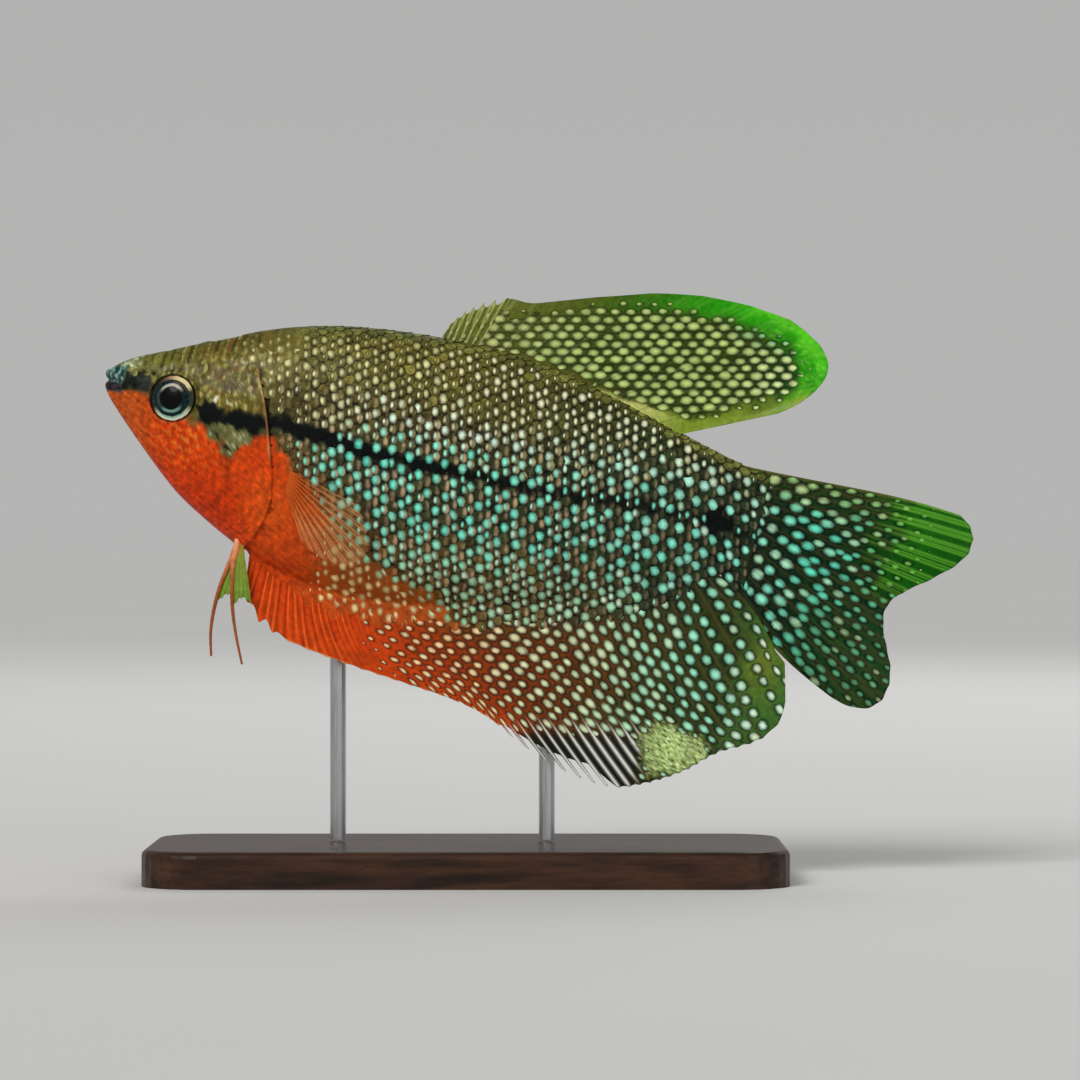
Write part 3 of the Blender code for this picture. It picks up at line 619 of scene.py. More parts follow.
def body_colours(x, z, y=0.0):
    """Ground, pearl and mark colours of the body at points of its side view, and shares of its zones."""
    w = z + 0.9 * y
    above = above_stripe(x, z) + 0.42 * ripple(x, z, 2.0, 1)
    over_belly = z - curve(BELLY_LINE, x)
    below_back = curve(BACK_LINE, x) - z
    back = step(4.5, 9.5, above)
    up = step(-0.5, 3.0, above)
    rear = step(45, 80, x)

    # The spot before the gill opening, the stripe and the spot at the tail's root.
    width = np.interp(x, *STRIPE_WIDTH)
    stripe = (step(1.35, 0.8, np.abs(above - np.interp(x, *STRIPE_SAG)) / width) * np.interp(x, *STRIPE_SHARE)
              * step(13.7, 14.2, x + 0.3 * ripple(x, z, 1.2, 19))
              * (1 - 0.85 * bell(x - 17.7 - 0.2 * above, 0.36) * step(-0.5, 0.4, above)))
    spot = np.hypot(x - 15.3, (z + 1.35) * 0.98) + 0.35 * ripple(x, z, 1.6, 3)
    root = step(2.3, 1.5, from_tail_spot(x, z) + 0.5 * ripple(x, z, 2.2, 4))
    black = np.clip(np.maximum(np.maximum(stripe, step(1.8, 1.1, spot)), root), 0, 1)

    # The orange of throat, breast and belly, with brown scale tips above the anal fin.
    over_orange = z - curve(ORANGE_TOP, x)
    soft = np.interp(x, *ORANGE_SOFT)
    orange = step(soft, -soft, over_orange - 0.5 * ripple(x, z, 2.4, 5) * step(6, 14, x)) * step(66, 46, x)
    bare = 1 - orange
    flame = blend((184, 80, 24), ((204, 62, 8), step(3, 12, x) * step(44, 24, x)),
                  ((196, 50, 6), step(-6, -14, z) * step(26, 20, x) * 0.7),
                  ((220, 96, 24), bell(x - 26.5, 4) * bell(z + 12, 5) * 0.6))
    flame = flame * ((1 + 0.08 * ripple(x, z, 1.7, 6)) * (1 + 0.10 * ripple(x, z, 0.7, 23)))[..., None]
    cheek = bell(x - 14.5, 6.5) * bell(z + 5.5, 4.5)
    flame = blend(flame, ((236, 142, 56), 0.75 * flecks(0.2, 1.0, x, z, 0.8, 13) * cheek),
                  ((160, 74, 18), step(0.9, 0.3, orange) * step(26, 34, x)),
                  ((144, 76, 26), step(32, 39, x) * step(-0.6, 2.4, over_belly) * 0.75))

    # Crown, and the skin of cheek and gill cover, with two pale spots high on the cover that are painted highlights.
    head = step(27, 19, x + 0.3 * (12 - z) * step(14, 17, x)) * bare
    crown = blend((108, 106, 44), ((98, 88, 34), step(6, 14, x)),
                  ((172, 168, 108), flecks(0.3, 1.1, x * 1.6, w * 0.6, 1.2, 7) * 0.75),
                  ((52, 48, 12), flecks(0.3, 1.0, x * 1.5, w * 0.5, 1.1, 8) * 0.75),
                  ((122, 76, 30), flecks(0.7, 1.2, x * 1.3, w * 0.5, 1.3, 24) * 0.5))
    cover = step(11.5, 13.5, x) * step(25.0, 21.5, x) * step(9.5, 6.0, z - 0.3 * (x - 17)) * bare
    highlight_ripple = ripple(x, z, 0.8, 22)
    upper = step(-0.5, 0.8, z)
    skin = blend((96, 86, 30), ((146, 138, 70), flecks(0.0, 1.0, x * 1.5, z * 0.8, 1.3, 9)),
                 ((108, 60, 18), flecks(0.5, 1.1, x * 1.3, z * 0.7, 1.3, 10) * 0.6),
                 ((108, 114, 72), step(-1.6, -2.6, z) * 0.75),
                 ((28, 30, 12), flecks(0.45, 0.9, x, z, 1.4, 11) * step(-3.2, -4.4, z)),
                 ((190, 196, 150), flecks(0.7, 1.2, x, z, 1.2, 15) * step(-1.5, -3.0, z) * 0.7),
                 ((196, 190, 128), flecks(0.75, 1.15, x * 1.7, z * 0.7, 1.2, 20) * upper * 0.8),
                 ((48, 44, 14), flecks(0.75, 1.15, x * 1.7, z * 0.7, 1.1, 21) * upper * 0.7),
                 # Two pale spots high on the gill cover: painted highlights.
                 ((226, 228, 208), step(0.5, 0.2, np.hypot((x - 15.9) * 1.3, (z - 0.75) * 0.8) + 0.12 * highlight_ripple)),
                 ((206, 206, 178), step(0.6, 0.3, np.hypot(x - 17.9, (z - 0.35) * 1.6) + 0.2 * highlight_ripple) * 0.8))

    # Snout: a striped teal upper lip under a cream top, a grey lower lip and a dark band back to the eye.
    rim = 0.3 * ripple(x, z, 1.2, 12)
    cream = step(5.4, 3.4, x) * step(1.5, 2.1, z - 0.12 * x + 0.5 * rim)
    cream_colour = blend((120, 122, 92), ((196, 204, 176), flecks(-0.3, 0.9, x, z, 0.9, 18)))
    lip_colour = blend((22, 52, 50), ((128, 174, 162), flecks(-0.5, 0.8, x, z * 0.3, 0.6, 14)),
                       ((62, 58, 64), step(-0.05, -0.5, z)))
    lips = step(3.0, 2.4, x + 0.5 * rim) * step(-1.75, -1.35, z) * (1 - cream * 0.8)
    lower = step(1.75, 1.45, z + 0.03 * (x - 2.5) + rim) * step(-1.1, -0.8, z - 0.15 * (x - 4))
    band = step(2.3, 2.8, x) * step(6.9, 6.2, x) * lower * (1 - 0.9 * orange)
    band_colour = blend((12, 16, 12), ((38, 41, 40), step(3.2, 5.2, x + 1.2 * ripple(x, z * 0.4, 0.8, 16))))

    ground = blend((52, 60, 34), ((80, 70, 32), up), ((46, 50, 28), up * step(6.5, 3.5, above) * step(36, 48, x) * 0.6),
                   ((114, 106, 44), back), ((28, 46, 28), rear * 0.75),
                   ((128, 84, 34), 0.75 * step(9, 0.5, over_orange) * step(24, 30, x) * step(68, 44, x)),
                   ((104, 82, 38), 0.7 * step(-6.5, -12, above) * step(40, 50, x) * step(84, 64, x)),
                   ((104, 106, 50), step(1.9, 0.9, below_back)),
                   (crown, head), (skin, cover), (flame, np.where(x > 26, step(0, 0.75, orange), orange)),
                   ((3, 8, 7), black * np.maximum(bare, step(1.3, 0.6, spot))),
                   (cream_colour, cream * 0.75), (lip_colour, lips), (band_colour, band * 0.94))
    pearl = blend((104, 222, 192), ((212, 236, 214), step(1.0, 4.5, above)),
                  ((208, 204, 142), np.maximum(back, step(42, 30, x) * step(0.0, 1.5, above))),
                  ((128, 226, 196), rear * 0.6 * (1 - back * 0.7)),
                  ((158, 216, 170), step(-9, -15, above) * step(34, 50, x)),
                  (blend((140, 190, 136), ((226, 196, 134), step(0.5, 1.0, orange))), orange),
                  ((112, 178, 138), step(34, 27, x) * step(0, -2, above) * bare * 0.75))
    mark = blend((206, 172, 134), ((204, 184, 134), up), ((176, 170, 100), back), ((226, 110, 44), orange))
    return ground, pearl, mark, {"back": back, "orange": orange, "black": black, "head": head, "up": up,
                                 "above": above, "below_back": below_back}


# ---- skin ----


def make_skin():
    sides = 232
    head = np.concatenate([(np.arange(112) / 112) ** 1.12 * 0.985, [0.988, 0.994, 0.998, 1.0]])
    trunk = np.concatenate([[0.0012, 0.003, 0.006], np.linspace(0.01, 1, 172)])
    turn = 2 * math.pi * (np.arange(sides) + 0.5) / sides
    angle = np.arcsin(np.sin(turn))
    gill = gill_line(angle)
    x = np.array([SKIN_START + (GILL_REAR - SKIN_START) * s + (gill - GILL_REAR) * s**2 for s in head]
                 + [gill + (SKIN_END - gill) * s for s in trunk])
    share = np.broadcast_to(np.concatenate([head, 1 + trunk])[:, None], x.shape)
    angle = np.broadcast_to(angle, x.shape)
    sine = np.sin(angle)
    y, z = section(x, angle)
    y = np.abs(y) * np.where(np.cos(turn) > 0, 1.0, -1.0)
    points = np.stack([x, y, z], -1)
    normal = unit(np.cross(np.gradient(points, axis=0), np.roll(points, -1, 1) - np.roll(points, 1, 1)))
    normal *= np.sign((normal * np.stack([np.zeros_like(x), y, z + 2], -1)).sum(-1, keepdims=True))

    on_head = share <= 1
    cover = step(COVER_LOW, COVER_LOW + 0.35, angle) * step(COVER_HIGH + 0.12, COVER_HIGH - 0.2, angle)
    firm = 0.4 + 0.6 * step(math.radians(-42), math.radians(-12), angle)
    throat = step(math.radians(-50), math.radians(-70), angle)
    cheek = line_distance(x, z, PREOPERCLE)
    from_eye = np.hypot(x - EYE_X, z - EYE_Z) - EYE_RADIUS
    # Sunk under the scales.
    scaled = np.where(on_head, step(SCALE_START, SCALE_START + 2, x) * step(0.3, 0.5, sine), 1.0)
    rise = -COAT_DEPTH * scaled * step(93.4, 91, x)
    # The gill cover and the throat stand up to their rear edge, with a groove behind.
    rise += np.where(on_head, 0.42 * step(0.66, 1.0, share) * cover * firm + 0.16 * step(0.9, 1.0, share) * throat,
                     -0.35 * cover * firm * step(0.03, 0.0, share - 1))
    rise -= 0.16 * bell(cheek, 0.32) * (x < 22)
    # Eye socket, its rim and the fold round it; nostrils; corner of the mouth; uneven crown.
    rise += 0.24 * bell(from_eye - 0.26, 0.24) - 0.75 * step(0.1, -0.3, from_eye) - 0.06 * bell(from_eye - 0.83, 0.25)
    for nx, nz, radius in NOSTRILS:
        far = np.hypot(x - nx, z - nz)
        rise += 0.10 * bell(far - radius * 1.7, 0.14) - 0.35 * bell(far, radius)
    rise -= 0.2 * bell(x - 3.95, 0.35) * step(0.95, 0.6, np.abs(sine))
    rise += (0.05 * np.sin(x * 2.1 + z * 1.3) * np.sin(z * 2.4 - x * 0.7)
             * step(4, 7, x) * step(24, 18, x) * step(1.5, 4, z))
    points = points + normal * rise[..., None]

    ground, _, _, zone = body_colours(x, z, np.abs(y))
    # Painted shade: the skin is darkened in the groove behind the gill cover and along the sunk line of the cheek.
    groove_shade = np.where(on_head, 0, step(0.02, 0.0, share - 1) * cover) * firm**2 * (1 - 0.7 * zone["orange"])
    ground = ground * ((1.0 - 0.16 * bell(cheek, 0.4)) * (1 - 0.75 * groove_shade))[..., None]
    rim = np.where(on_head, step(0.986, 0.993, share), 0) * step(-6.5, -4.5, z) * step(8.0, 6.0, z)
    # Over it: the light-brown rim of the gill cover, the nostrils darkened with painted shade in their pits, and a dark
    # line round the eye.
    ground = blend(ground, (blend((166, 110, 66), ((190, 156, 108), flecks(-0.6, 0.8, x, z, 2.2, 17))), rim * 0.8),
                   *(((22, 20, 12), bell(np.hypot(x - nx, z - nz), radius * 1.1) * 0.9) for nx, nz, radius in NOSTRILS),
                   ((18, 16, 12), step(0.16, 0.0, from_eye)))
    colour = paint(ground, 0.5 + 0.4 * zone["head"] * step(24, 18, x) - 0.1 * zone["orange"])

    flat, faces = capped(points), tube_faces(*x.shape)
    colour = capped(colour, colour[0, 0], colour[-1, -1])
    for lip in (1, -1):
        roll, shade = make_lip(lip)
        faces += [tuple(len(flat) + i for i in f) for f in tube_faces(*roll.shape[:2])]
        flat = np.concatenate([flat, capped(roll)])
        colour = np.concatenate([colour, paint(capped(shade, shade[0, 0], shade[-1, 0]), 0.7)])
    build("skin", flat, faces, skin_look(),
          ("head", "torso", "tail_stalk", "gill_cover_left", "gill_cover_right"), dict(ground=colour))


def capped(grid, front=None, rear=None):
    """The rings of a tube as one list, with the two points or values that close its ends."""
    ends = [grid[0].mean(0) if front is None else front, grid[-1].mean(0) if rear is None else rear]
    return np.concatenate([grid.reshape(-1, grid.shape[-1]), ends])


def make_lip(lip):
    """A tapered roll that grows out of the snout: 1 is the upper lip, -1 the lower one."""
    turn = math.pi * (np.linspace(0, 1, 49)[:, None, None] - 0.5)
    a = 2 * math.pi * np.arange(20)[:, None] / 20
    corner, tip = (np.array([x, 0, z]) for x, z in (MOUTH_CORNER, MOUTH_TIP))
    ahead = (tip - corner) * (1 if lip > 0 else LOWER_LIP_REACH)
    forward, across = unit(ahead), np.array([0, 1, 0])
    up = np.array([forward[2], 0, -forward[0]])
    c, s = np.cos(turn), np.sin(turn)
    radius = LIP_RADIUS * (0.42 + 0.58 * np.clip(c, 0, 1) ** 0.8)
    middle = corner + ahead * c + across * MOUTH_HALF_WIDTH * s + up * lip * (radius + LIP_GAP / 2)
    out = unit(forward * c + across * s)
    points = middle + (out * np.cos(a) + up * np.sin(a)) * radius * (1 + 0.05 * np.sin(7 * turn + 2 * a))
    if lip > 0:
        stripe = 0.5 + 0.5 * np.sin(21 * np.abs(turn) + 0.6 * np.sin(3 * a))
        tone = blend((34, 62, 60), ((138, 178, 166), stripe[..., 0]))
    else:
        tone = np.array([50, 44, 48]) * (0.9 + 0.2 * np.sin(12 * turn))
    # The lips' faces towards the slit between them are darkened: painted shade.
    return points, tone * (1 - 0.55 * np.maximum(0, -np.sin(a) * lip))


# ---- scales ----


def calm_of(x, orange):
    """Share by which scales lie flat and alike: on the orange breast and on the nape."""
    return np.maximum(step(0.2, 0.8, orange) * step(66, 50, x), step(31, 23, x))


def scale_shape():
    """Points of one scale lengthwise and crosswise, how far they lift, and the faces of its leaf."""
    a, f = np.meshgrid([-0.95, -0.45, 0.1, 0.55, 0.92, 1.17], [-1.0, -0.55, 0.0, 0.55, 1.0], indexing="ij")
    half = np.array([0.55, 0.84, 0.93, 0.85, 0.62, 0.26])[:, None]
    lift = 0.15 * ((a + 0.95) / 2.12) ** 1.15 + 0.03 * (1 - f**2)
    return (a - 0.10 * f**2 * (a > 0.5)).ravel(), (f * half).ravel(), lift.ravel(), leaf_faces(*a.shape)


def scale_places():
    """Kind, place and the body's limits, as arc lengths, for all scales of one side."""
    columns = np.arange(SCALE_START - 6, 101, SCALE_PITCH_X)
    i, j = (v.ravel() for v in np.meshgrid(np.arange(len(columns)), np.arange(-24, 25), indexing="ij"))
    arc = (j + 0.5 * (i % 2)) * SCALE_PITCH_ARC
    x = columns[i] - SCALE_LEAN * arc
    low, high = np.interp(x, TABLE_X, LOW_ARC), np.interp(x, TABLE_X, HIGH_ARC)
    sheath = 2.0 * step(27, 36, x) * step(89, 84, x)
    fits = (x > SCALE_START - 3.5) & (x < 92.7) & (arc > low - 0.4 - sheath) & (arc < high + 0.4)
    # One scale in three belongs to the wide quincunx of large pearls; the other two thirds follow it.
    return np.stack([np.mod(2 * j + i % 2, 3), x, arc, low, high])[:, fits]


def pearl_sizes(chances, kind, x, z, past, on_stripe, zone):
    chance, for_large, for_medium, for_small, for_back = chances
    back, above = zone["back"], zone["above"]
    upper, lower = zone["up"] * step(27, 36, x), step(-8, -13, above)
    rear = step(66, 84, x)
    medium = (kind == 1) & (chance < (0.66 + 0.34 * np.maximum(upper, lower)) * (1 - 0.5 * rear))
    small = (kind == 2) & (chance < (0.36 + 0.5 * upper) * (1 - 0.8 * rear))
    size = np.select([kind == 0, medium, small],
                     [1.04 + 0.16 * for_large, 0.70 + 0.3 * for_medium, 0.52 + 0.3 * for_small], 0)
    size *= (1 - 0.14 * upper * (1 - rear)) * (1 + 0.24 * rear) * (1 - 0.42 * step(33, 27, x))
    on_back = (np.where(kind == 0, 0.74, 0.50) + 0.3 * for_back) * (1 - 0.5 * (chance > 0.86))
    size = size * (1 - back) + on_back * back
    size *= 1 - np.maximum(step(0.1, 0.7, on_stripe), step(2.2, 1.6, from_tail_spot(x, z)))
    size = np.where(size < 0.3, 0, size) * (1 - 0.95 * zone["orange"] * step(37, 32, x))
    size *= step(0.75, 1.7, zone["below_back"]) * step(2.5, 2.0, past) * (1 - step(79, 82, x) * step(0.2, 0.7, past))
    return size * np.where((x < 27) & (z < 2.5), 0.6, 1) * np.interp(x, [14, 22], [0.8, 1.0])


def make_scales():
    look = scale_look()
    for name, side, seed in (("left", -1, 11), ("right", 1, 12)):
        make_coat(name, side, np.random.default_rng(seed), look)


def make_coat(name, side, draw, look):
    kind, x0, arc0, low, high = scale_places()
    x0 = x0 + draw.normal(0, 0.11, len(x0))
    arc0 = arc0 + draw.normal(0, 0.10, len(x0))
    z0 = surface(x0, arc0, side)[:, 2]
    past = np.clip(low - arc0, 0, 4)
    sine = np.clip(sine_at(x0, z0)[0], -1, 1)
    front = SCALE_START + 4.5 - 3.0 * step(7.0, 9.0, z0 - 0.2 * x0)
    keep = (x0 > gill_line(np.arcsin(sine)) + 0.7) | ((sine > 0.62) & (x0 > front))
    kind, x0, arc0, z0, past, high = (v[keep] for v in (kind, x0, arc0, z0, past, high))
    count = len(x0)

    _, pearl, mark, zone = body_colours(x0, z0)
    back, orange = zone["back"], zone["orange"]
    on_stripe = (step(0.75, 0.3, np.abs(above_stripe(x0, z0) - np.interp(x0, *STRIPE_SAG)))
                 * (1 - 0.6 * step(43, 56, x0)))
    size = pearl_sizes(draw.random((5, count)), kind, x0, z0, past, on_stripe, zone)
    glow, large_pale, small_pale, dim, marked, nape_marked, shade = draw.random((7, count))
    pale = np.where(kind == 0, 0.25 * large_pale, 0.15 + 0.5 * small_pale) * (1 - back) * (1 - orange)
    dull = 0.6 * np.maximum(back, zone["up"] * step(27, 36, x0)) * (kind != 0) * step(0.35, 0.7, dim)
    spots = blend(pearl * (0.88 + 0.2 * glow)[:, None], ((224, 226, 200), pale),
                  ((140, 138, 78), step(3.6, 1.0, zone["below_back"]) * back * step(50, 40, x0) * 0.75),
                  ((234, 232, 204), back * step(40, 54, x0) * 0.6), ((164, 150, 98), dull))
    nape = step(36, 27, x0) * step(0.8, 2.4, zone["above"]) * step(1.6, 3.0, zone["below_back"])
    share = (0.25 + 0.7 * marked) * (1 - back * 0.8) * (1 - on_stripe)
    share = np.maximum(share * (1 - 0.6 * step(60, 80, x0)) * (1 - 0.7 * orange), nape * (0.4 + 0.4 * nape_marked))
    mark = blend(mark, ((184, 174, 116), nape))

    tops, sideways, lift, leaf = scale_shape()
    points_each = 2 * len(tops)
    calm = calm_of(x0, orange)
    tone = 1 + (0.4 * shade - 0.2) * (1 - 0.7 * calm)
    grow = (1 + draw.normal(0, 0.03, count)) * np.interp(x0, *SCALE_GROWTH) * (1 - 0.08 * past)
    turn = draw.normal(0, 0.05, count)
    uneven = draw.normal(0, 0.006, count)
    root = np.stack([0.03 + x0 / 100.0, 0.5 - side * (high - arc0) / 105.0], 1)
    x0, arc0, past, share, calm, tone, grow, turn, uneven = (
        v[:, None] for v in (x0, arc0, past, share, calm, tone, grow, turn, uneven))
    a, b = tops * grow, sideways * grow
    x = x0 + a * np.cos(turn) - b * (np.sin(turn) + 0.5 * SCALE_LEAN)
    arc = arc0 + a * np.sin(turn) + b * np.cos(turn)
    here = surface(x, arc, side)
    e = 0.05
    normal = -side * unit(np.cross(surface(x + e, arc, side) - surface(x - e, arc, side),
                                   surface(x, arc + e, side) - surface(x, arc - e, side)))
    rise = lift * (1 - 0.86 * calm) * (1 - 0.6 * step(0.0, 2.0, past)) - 0.13 + uneven - 0.05 * step(84, 92, x)
    points = np.concatenate([here + normal * height[..., None]
                             for height in (rise, rise - SCALE_THICKNESS * (1 - 0.5 * calm))], 1)
    faces = (np.array(leaf) + (np.arange(count) * points_each)[:, None, None]).reshape(-1, 4)

    ground, _, _, zone = body_colours(here[..., 0], here[..., 2], np.abs(here[..., 1]))
    even = np.maximum(step(0.1, 0.6, zone["orange"]), 0.85 * step(30, 22, here[..., 0]))
    ground = paint(ground * tone[..., None], 0.7 - 0.64 * even)
    mark = paint(np.broadcast_to(mark[:, None], here.shape), share * (1 - zone["black"]))
    local = np.stack([tops / SCALE_LONG + 0.5, sideways / SCALE_BROAD + 0.5], 1)
    local = np.tile(local, (2 * count, 1))
    build(f"scales_{name}", points, faces[:, ::-1] if side < 0 else faces, look,
          colours=dict(ground=np.concatenate([ground, ground], 1), mark=np.concatenate([mark, mark], 1),
                       pearl=np.repeat(paint(spots, size), points_each, 0)),
          maps=dict(OFBake=np.repeat(root, points_each, 0) + (local - 0.5) * BAKE_PATCH, scale=local), crisp=True)


# ---- fins ----


def make_fin(name, nodes, look, rays, root, edge, rows, colours, sway, scallop, bow=None, forks=(), cusp=0.6,
             gaps=FINE_GAPS, thick=0.11, root_thick=0.5, ridge=0.15, ridge_from=-0.2, sink=0.8, width=0.17,
             threads=None):
    """A thin fin with raised, branching rays and a scalloped edge.

    Its columns lie at a share of the base and carry the ray's number plus the fraction of the gap behind it."""
    at = np.append(np.concatenate([a + (b - a) * np.array(gaps) for a, b in zip(rays, rays[1:])]), rays[-1])
    number = np.append(np.concatenate([k + np.array(gaps) for k in range(len(rays) - 1)]), len(rays) - 1)
    at_g, reach_g = np.meshgrid(at, np.linspace(0, 1, rows + 1) ** 0.9, indexing="ij")
    number_g = np.broadcast_to(number[:, None], at_g.shape)
    off_ray = np.abs(number_g - np.round(number_g))
    start, end = root(at_g), edge(at_g)
    span = np.linalg.norm(end - start, axis=-1)
    cut = 1 - scallop(at_g) * np.sin(math.pi * off_ray) ** cusp
    if threads is not None:
        free = threads(at_g)
        cut = cut * (1 - free) + (1 - THREAD_LENGTH * step(0.12, 0.23, off_ray)) * free
    inner = sink / np.maximum(span, 0.1)
    r = reach_g * cut * (1 + inner) - inner
    point = start + (end - start) * r[..., None]
    r = np.clip(r, 0, 1)
    if bow is not None:
        along = (end - start) * (bow(at_g, r) / np.maximum(span, 1e-6))[..., None]
        point[..., 0] -= along[..., 2]
        point[..., 2] += along[..., 0]
    point[..., 1] += sway(at_g, r, point)
    # Distance across the uncut fin from the nearest branch of the nearest ray.
    whole = start + (end - start) * reach_g[..., None]
    gap = np.linalg.norm(np.gradient(whole, axis=0), axis=-1) / np.maximum(np.gradient(number)[:, None], 1e-6)
    branch = off_ray
    for begins, length, aside in zip(forks, (0.25, 0.2), (0.16, 0.07)):
        branch = np.abs(branch - aside * step(begins, begins + length, r))
    on_ray = bell(branch * gap, width)
    half = (thick / 2 + (root_thick - thick / 2) * (1 - r) ** 5) * (1 - 0.4 * r**6)
    half = (half + on_ray * ridge * (1 - 0.55 * r) * step(ridge_from, ridge_from + 0.15, r))[..., None] * [0, 1, 0]
    coats, lattice = colours(at_g, number_g, r, r * span, gap, on_ray, point)
    build(name, np.stack([point - half, point + half]), leaf_faces(*at_g.shape), look, nodes,
          {key: np.stack([values, values]) for key, values in coats.items()},
          dict(lattice=np.tile(lattice.reshape(-1, 2), (2, 1))))


def coats_of(ground, mottle, pearl, size, line, share, pattern):
    """Colours of membrane, pearls and rays, each with its share, and the pearls' pattern."""
    lattice, spot = pattern
    return dict(ground=paint(ground, mottle), pearl=paint(pearl, size), rays=paint(line, share), spot=spot), lattice


def brick(columns, along, pitch, column_width, rx, ry):
    """Lattice coordinates and spot matrix for pearls in a brick pattern along the rays."""
    v = along / pitch
    return np.stack([v + columns / 2, v - columns / 2], -1), pearl_matrix(column_width, pitch, rx, ry)


def on_base(first, last, line, inward):
    def root(at):
        x = first + (last - first) * at
        return np.stack([x, np.zeros_like(x), curve(line, x) - inward * 0.3], -1)
    return root


def upright(x, top, height):
    """A root at x, from top down by a height."""
    return lambda at: np.stack([np.full_like(at, x), np.zeros_like(at), top - height * at], -1)


def edge_of(table, soften=0.0):
    """The fin's free edge through a table's points, its corners rounded over soften of its length to each side."""
    def edge(at):
        reach = np.minimum(soften, np.minimum(at, 1 - at))
        x, z = (sum(curve(table, at + reach * k, column) * (3 - abs(k * 2)) for k in (-1, -0.5, 0, 0.5, 1)) / 9
                for column in (1, 2))
        return np.stack([x, np.zeros_like(at), z], -1)
    return edge


def spread_rays(spines, soft, share):
    return np.concatenate([share * np.arange(spines) / spines, share + (1 - share) * np.arange(soft) / (soft - 1)])


def dorsal_colours(at, number, reach, along, gap, on_ray, point):
    x, z = point[..., 0], point[..., 2]
    from_edge = (1 - reach) * along / np.maximum(reach, 0.02) + 0.5 * ripple(x, z, 3.5, 21)
    tip = step(0.3, 0.62, at) * step(6.0, 2.2, from_edge)
    wave = ripple(x, z, 3, 22)
    wedge = step(14.8, 14.0, z + 0.09 * (x - 66) + 0.2 * wave) * step(63, 65.5, x)
    under = np.maximum(step(0.90, 0.975, at + 0.01 * wave) * step(0.06, 0.2, reach), wedge)
    bright = step(82, 88, x) * step(2.5, 1.0, from_edge) * step(0.95, 0.8, at)
    ground = blend((96, 104, 34), ((58, 76, 14), step(0.15, 0.6, at)), ((24, 66, 12), step(84, 92, x) * 0.9),
                   (blend((40, 158, 8), ((84, 204, 28), bright)), tip),
                   ((138, 214, 74), 0.6 * tip * step(84, 88, x) * flecks(0.5, 1.1, x, z * 1.4, 0.9, 25)),
                   ((128, 150, 46), under), ((200, 204, 118), wedge * step(80, 72, x)),
                   ((92, 84, 30), step(0.16, 0.0, reach) * (1 - under) * 0.8))
    pearl = blend((180, 190, 118), ((178, 200, 116), step(0.2, 0.5, at)), ((206, 224, 150), step(82, 92, x)),
                  ((120, 186, 130), step(80, 88, x) * step(24, 28, z)))
    # Bricks between the spines; on the soft part an even pattern that follows the body's pitch.
    soft = at >= 0.15
    size = np.where(soft, 1.0, 0.6) * (1 - 0.9 * tip) * step(0.0, 0.06, reach) * (1 - 0.95 * under)
    size *= np.where(soft, 1 - step(3.0, 1.2, from_edge) * step(0.8, 0.3, at), 1) * step(0.3, 1.0, from_edge)
    pitch_u, pitch_v = 1.07, 2.25
    u = (x * math.cos(PITCH) + z * math.sin(PITCH)) / pitch_u
    v = (z * math.cos(PITCH) - x * math.sin(PITCH)) / pitch_v
    even = np.stack([v + u / 2, v - u / 2], -1), pearl_matrix(pitch_u, pitch_v, 0.80, 0.50)
    bricks = brick(number, along, 1.75, gap, 0.42, 0.6)
    line = blend((170, 178, 104), ((84, 104, 36), step(0.15, 0.3, at)), ((96, 190, 50), tip))
    share = on_ray * np.where(soft, 0.16 + 0.3 * tip + 0.3 * step(0.0, 0.25, 0.42 - at), 0.9)
    return coats_of(ground, 0.5, pearl, size, line, share,
                    [np.where(soft[..., None], a, b) for a, b in zip(even, bricks)])


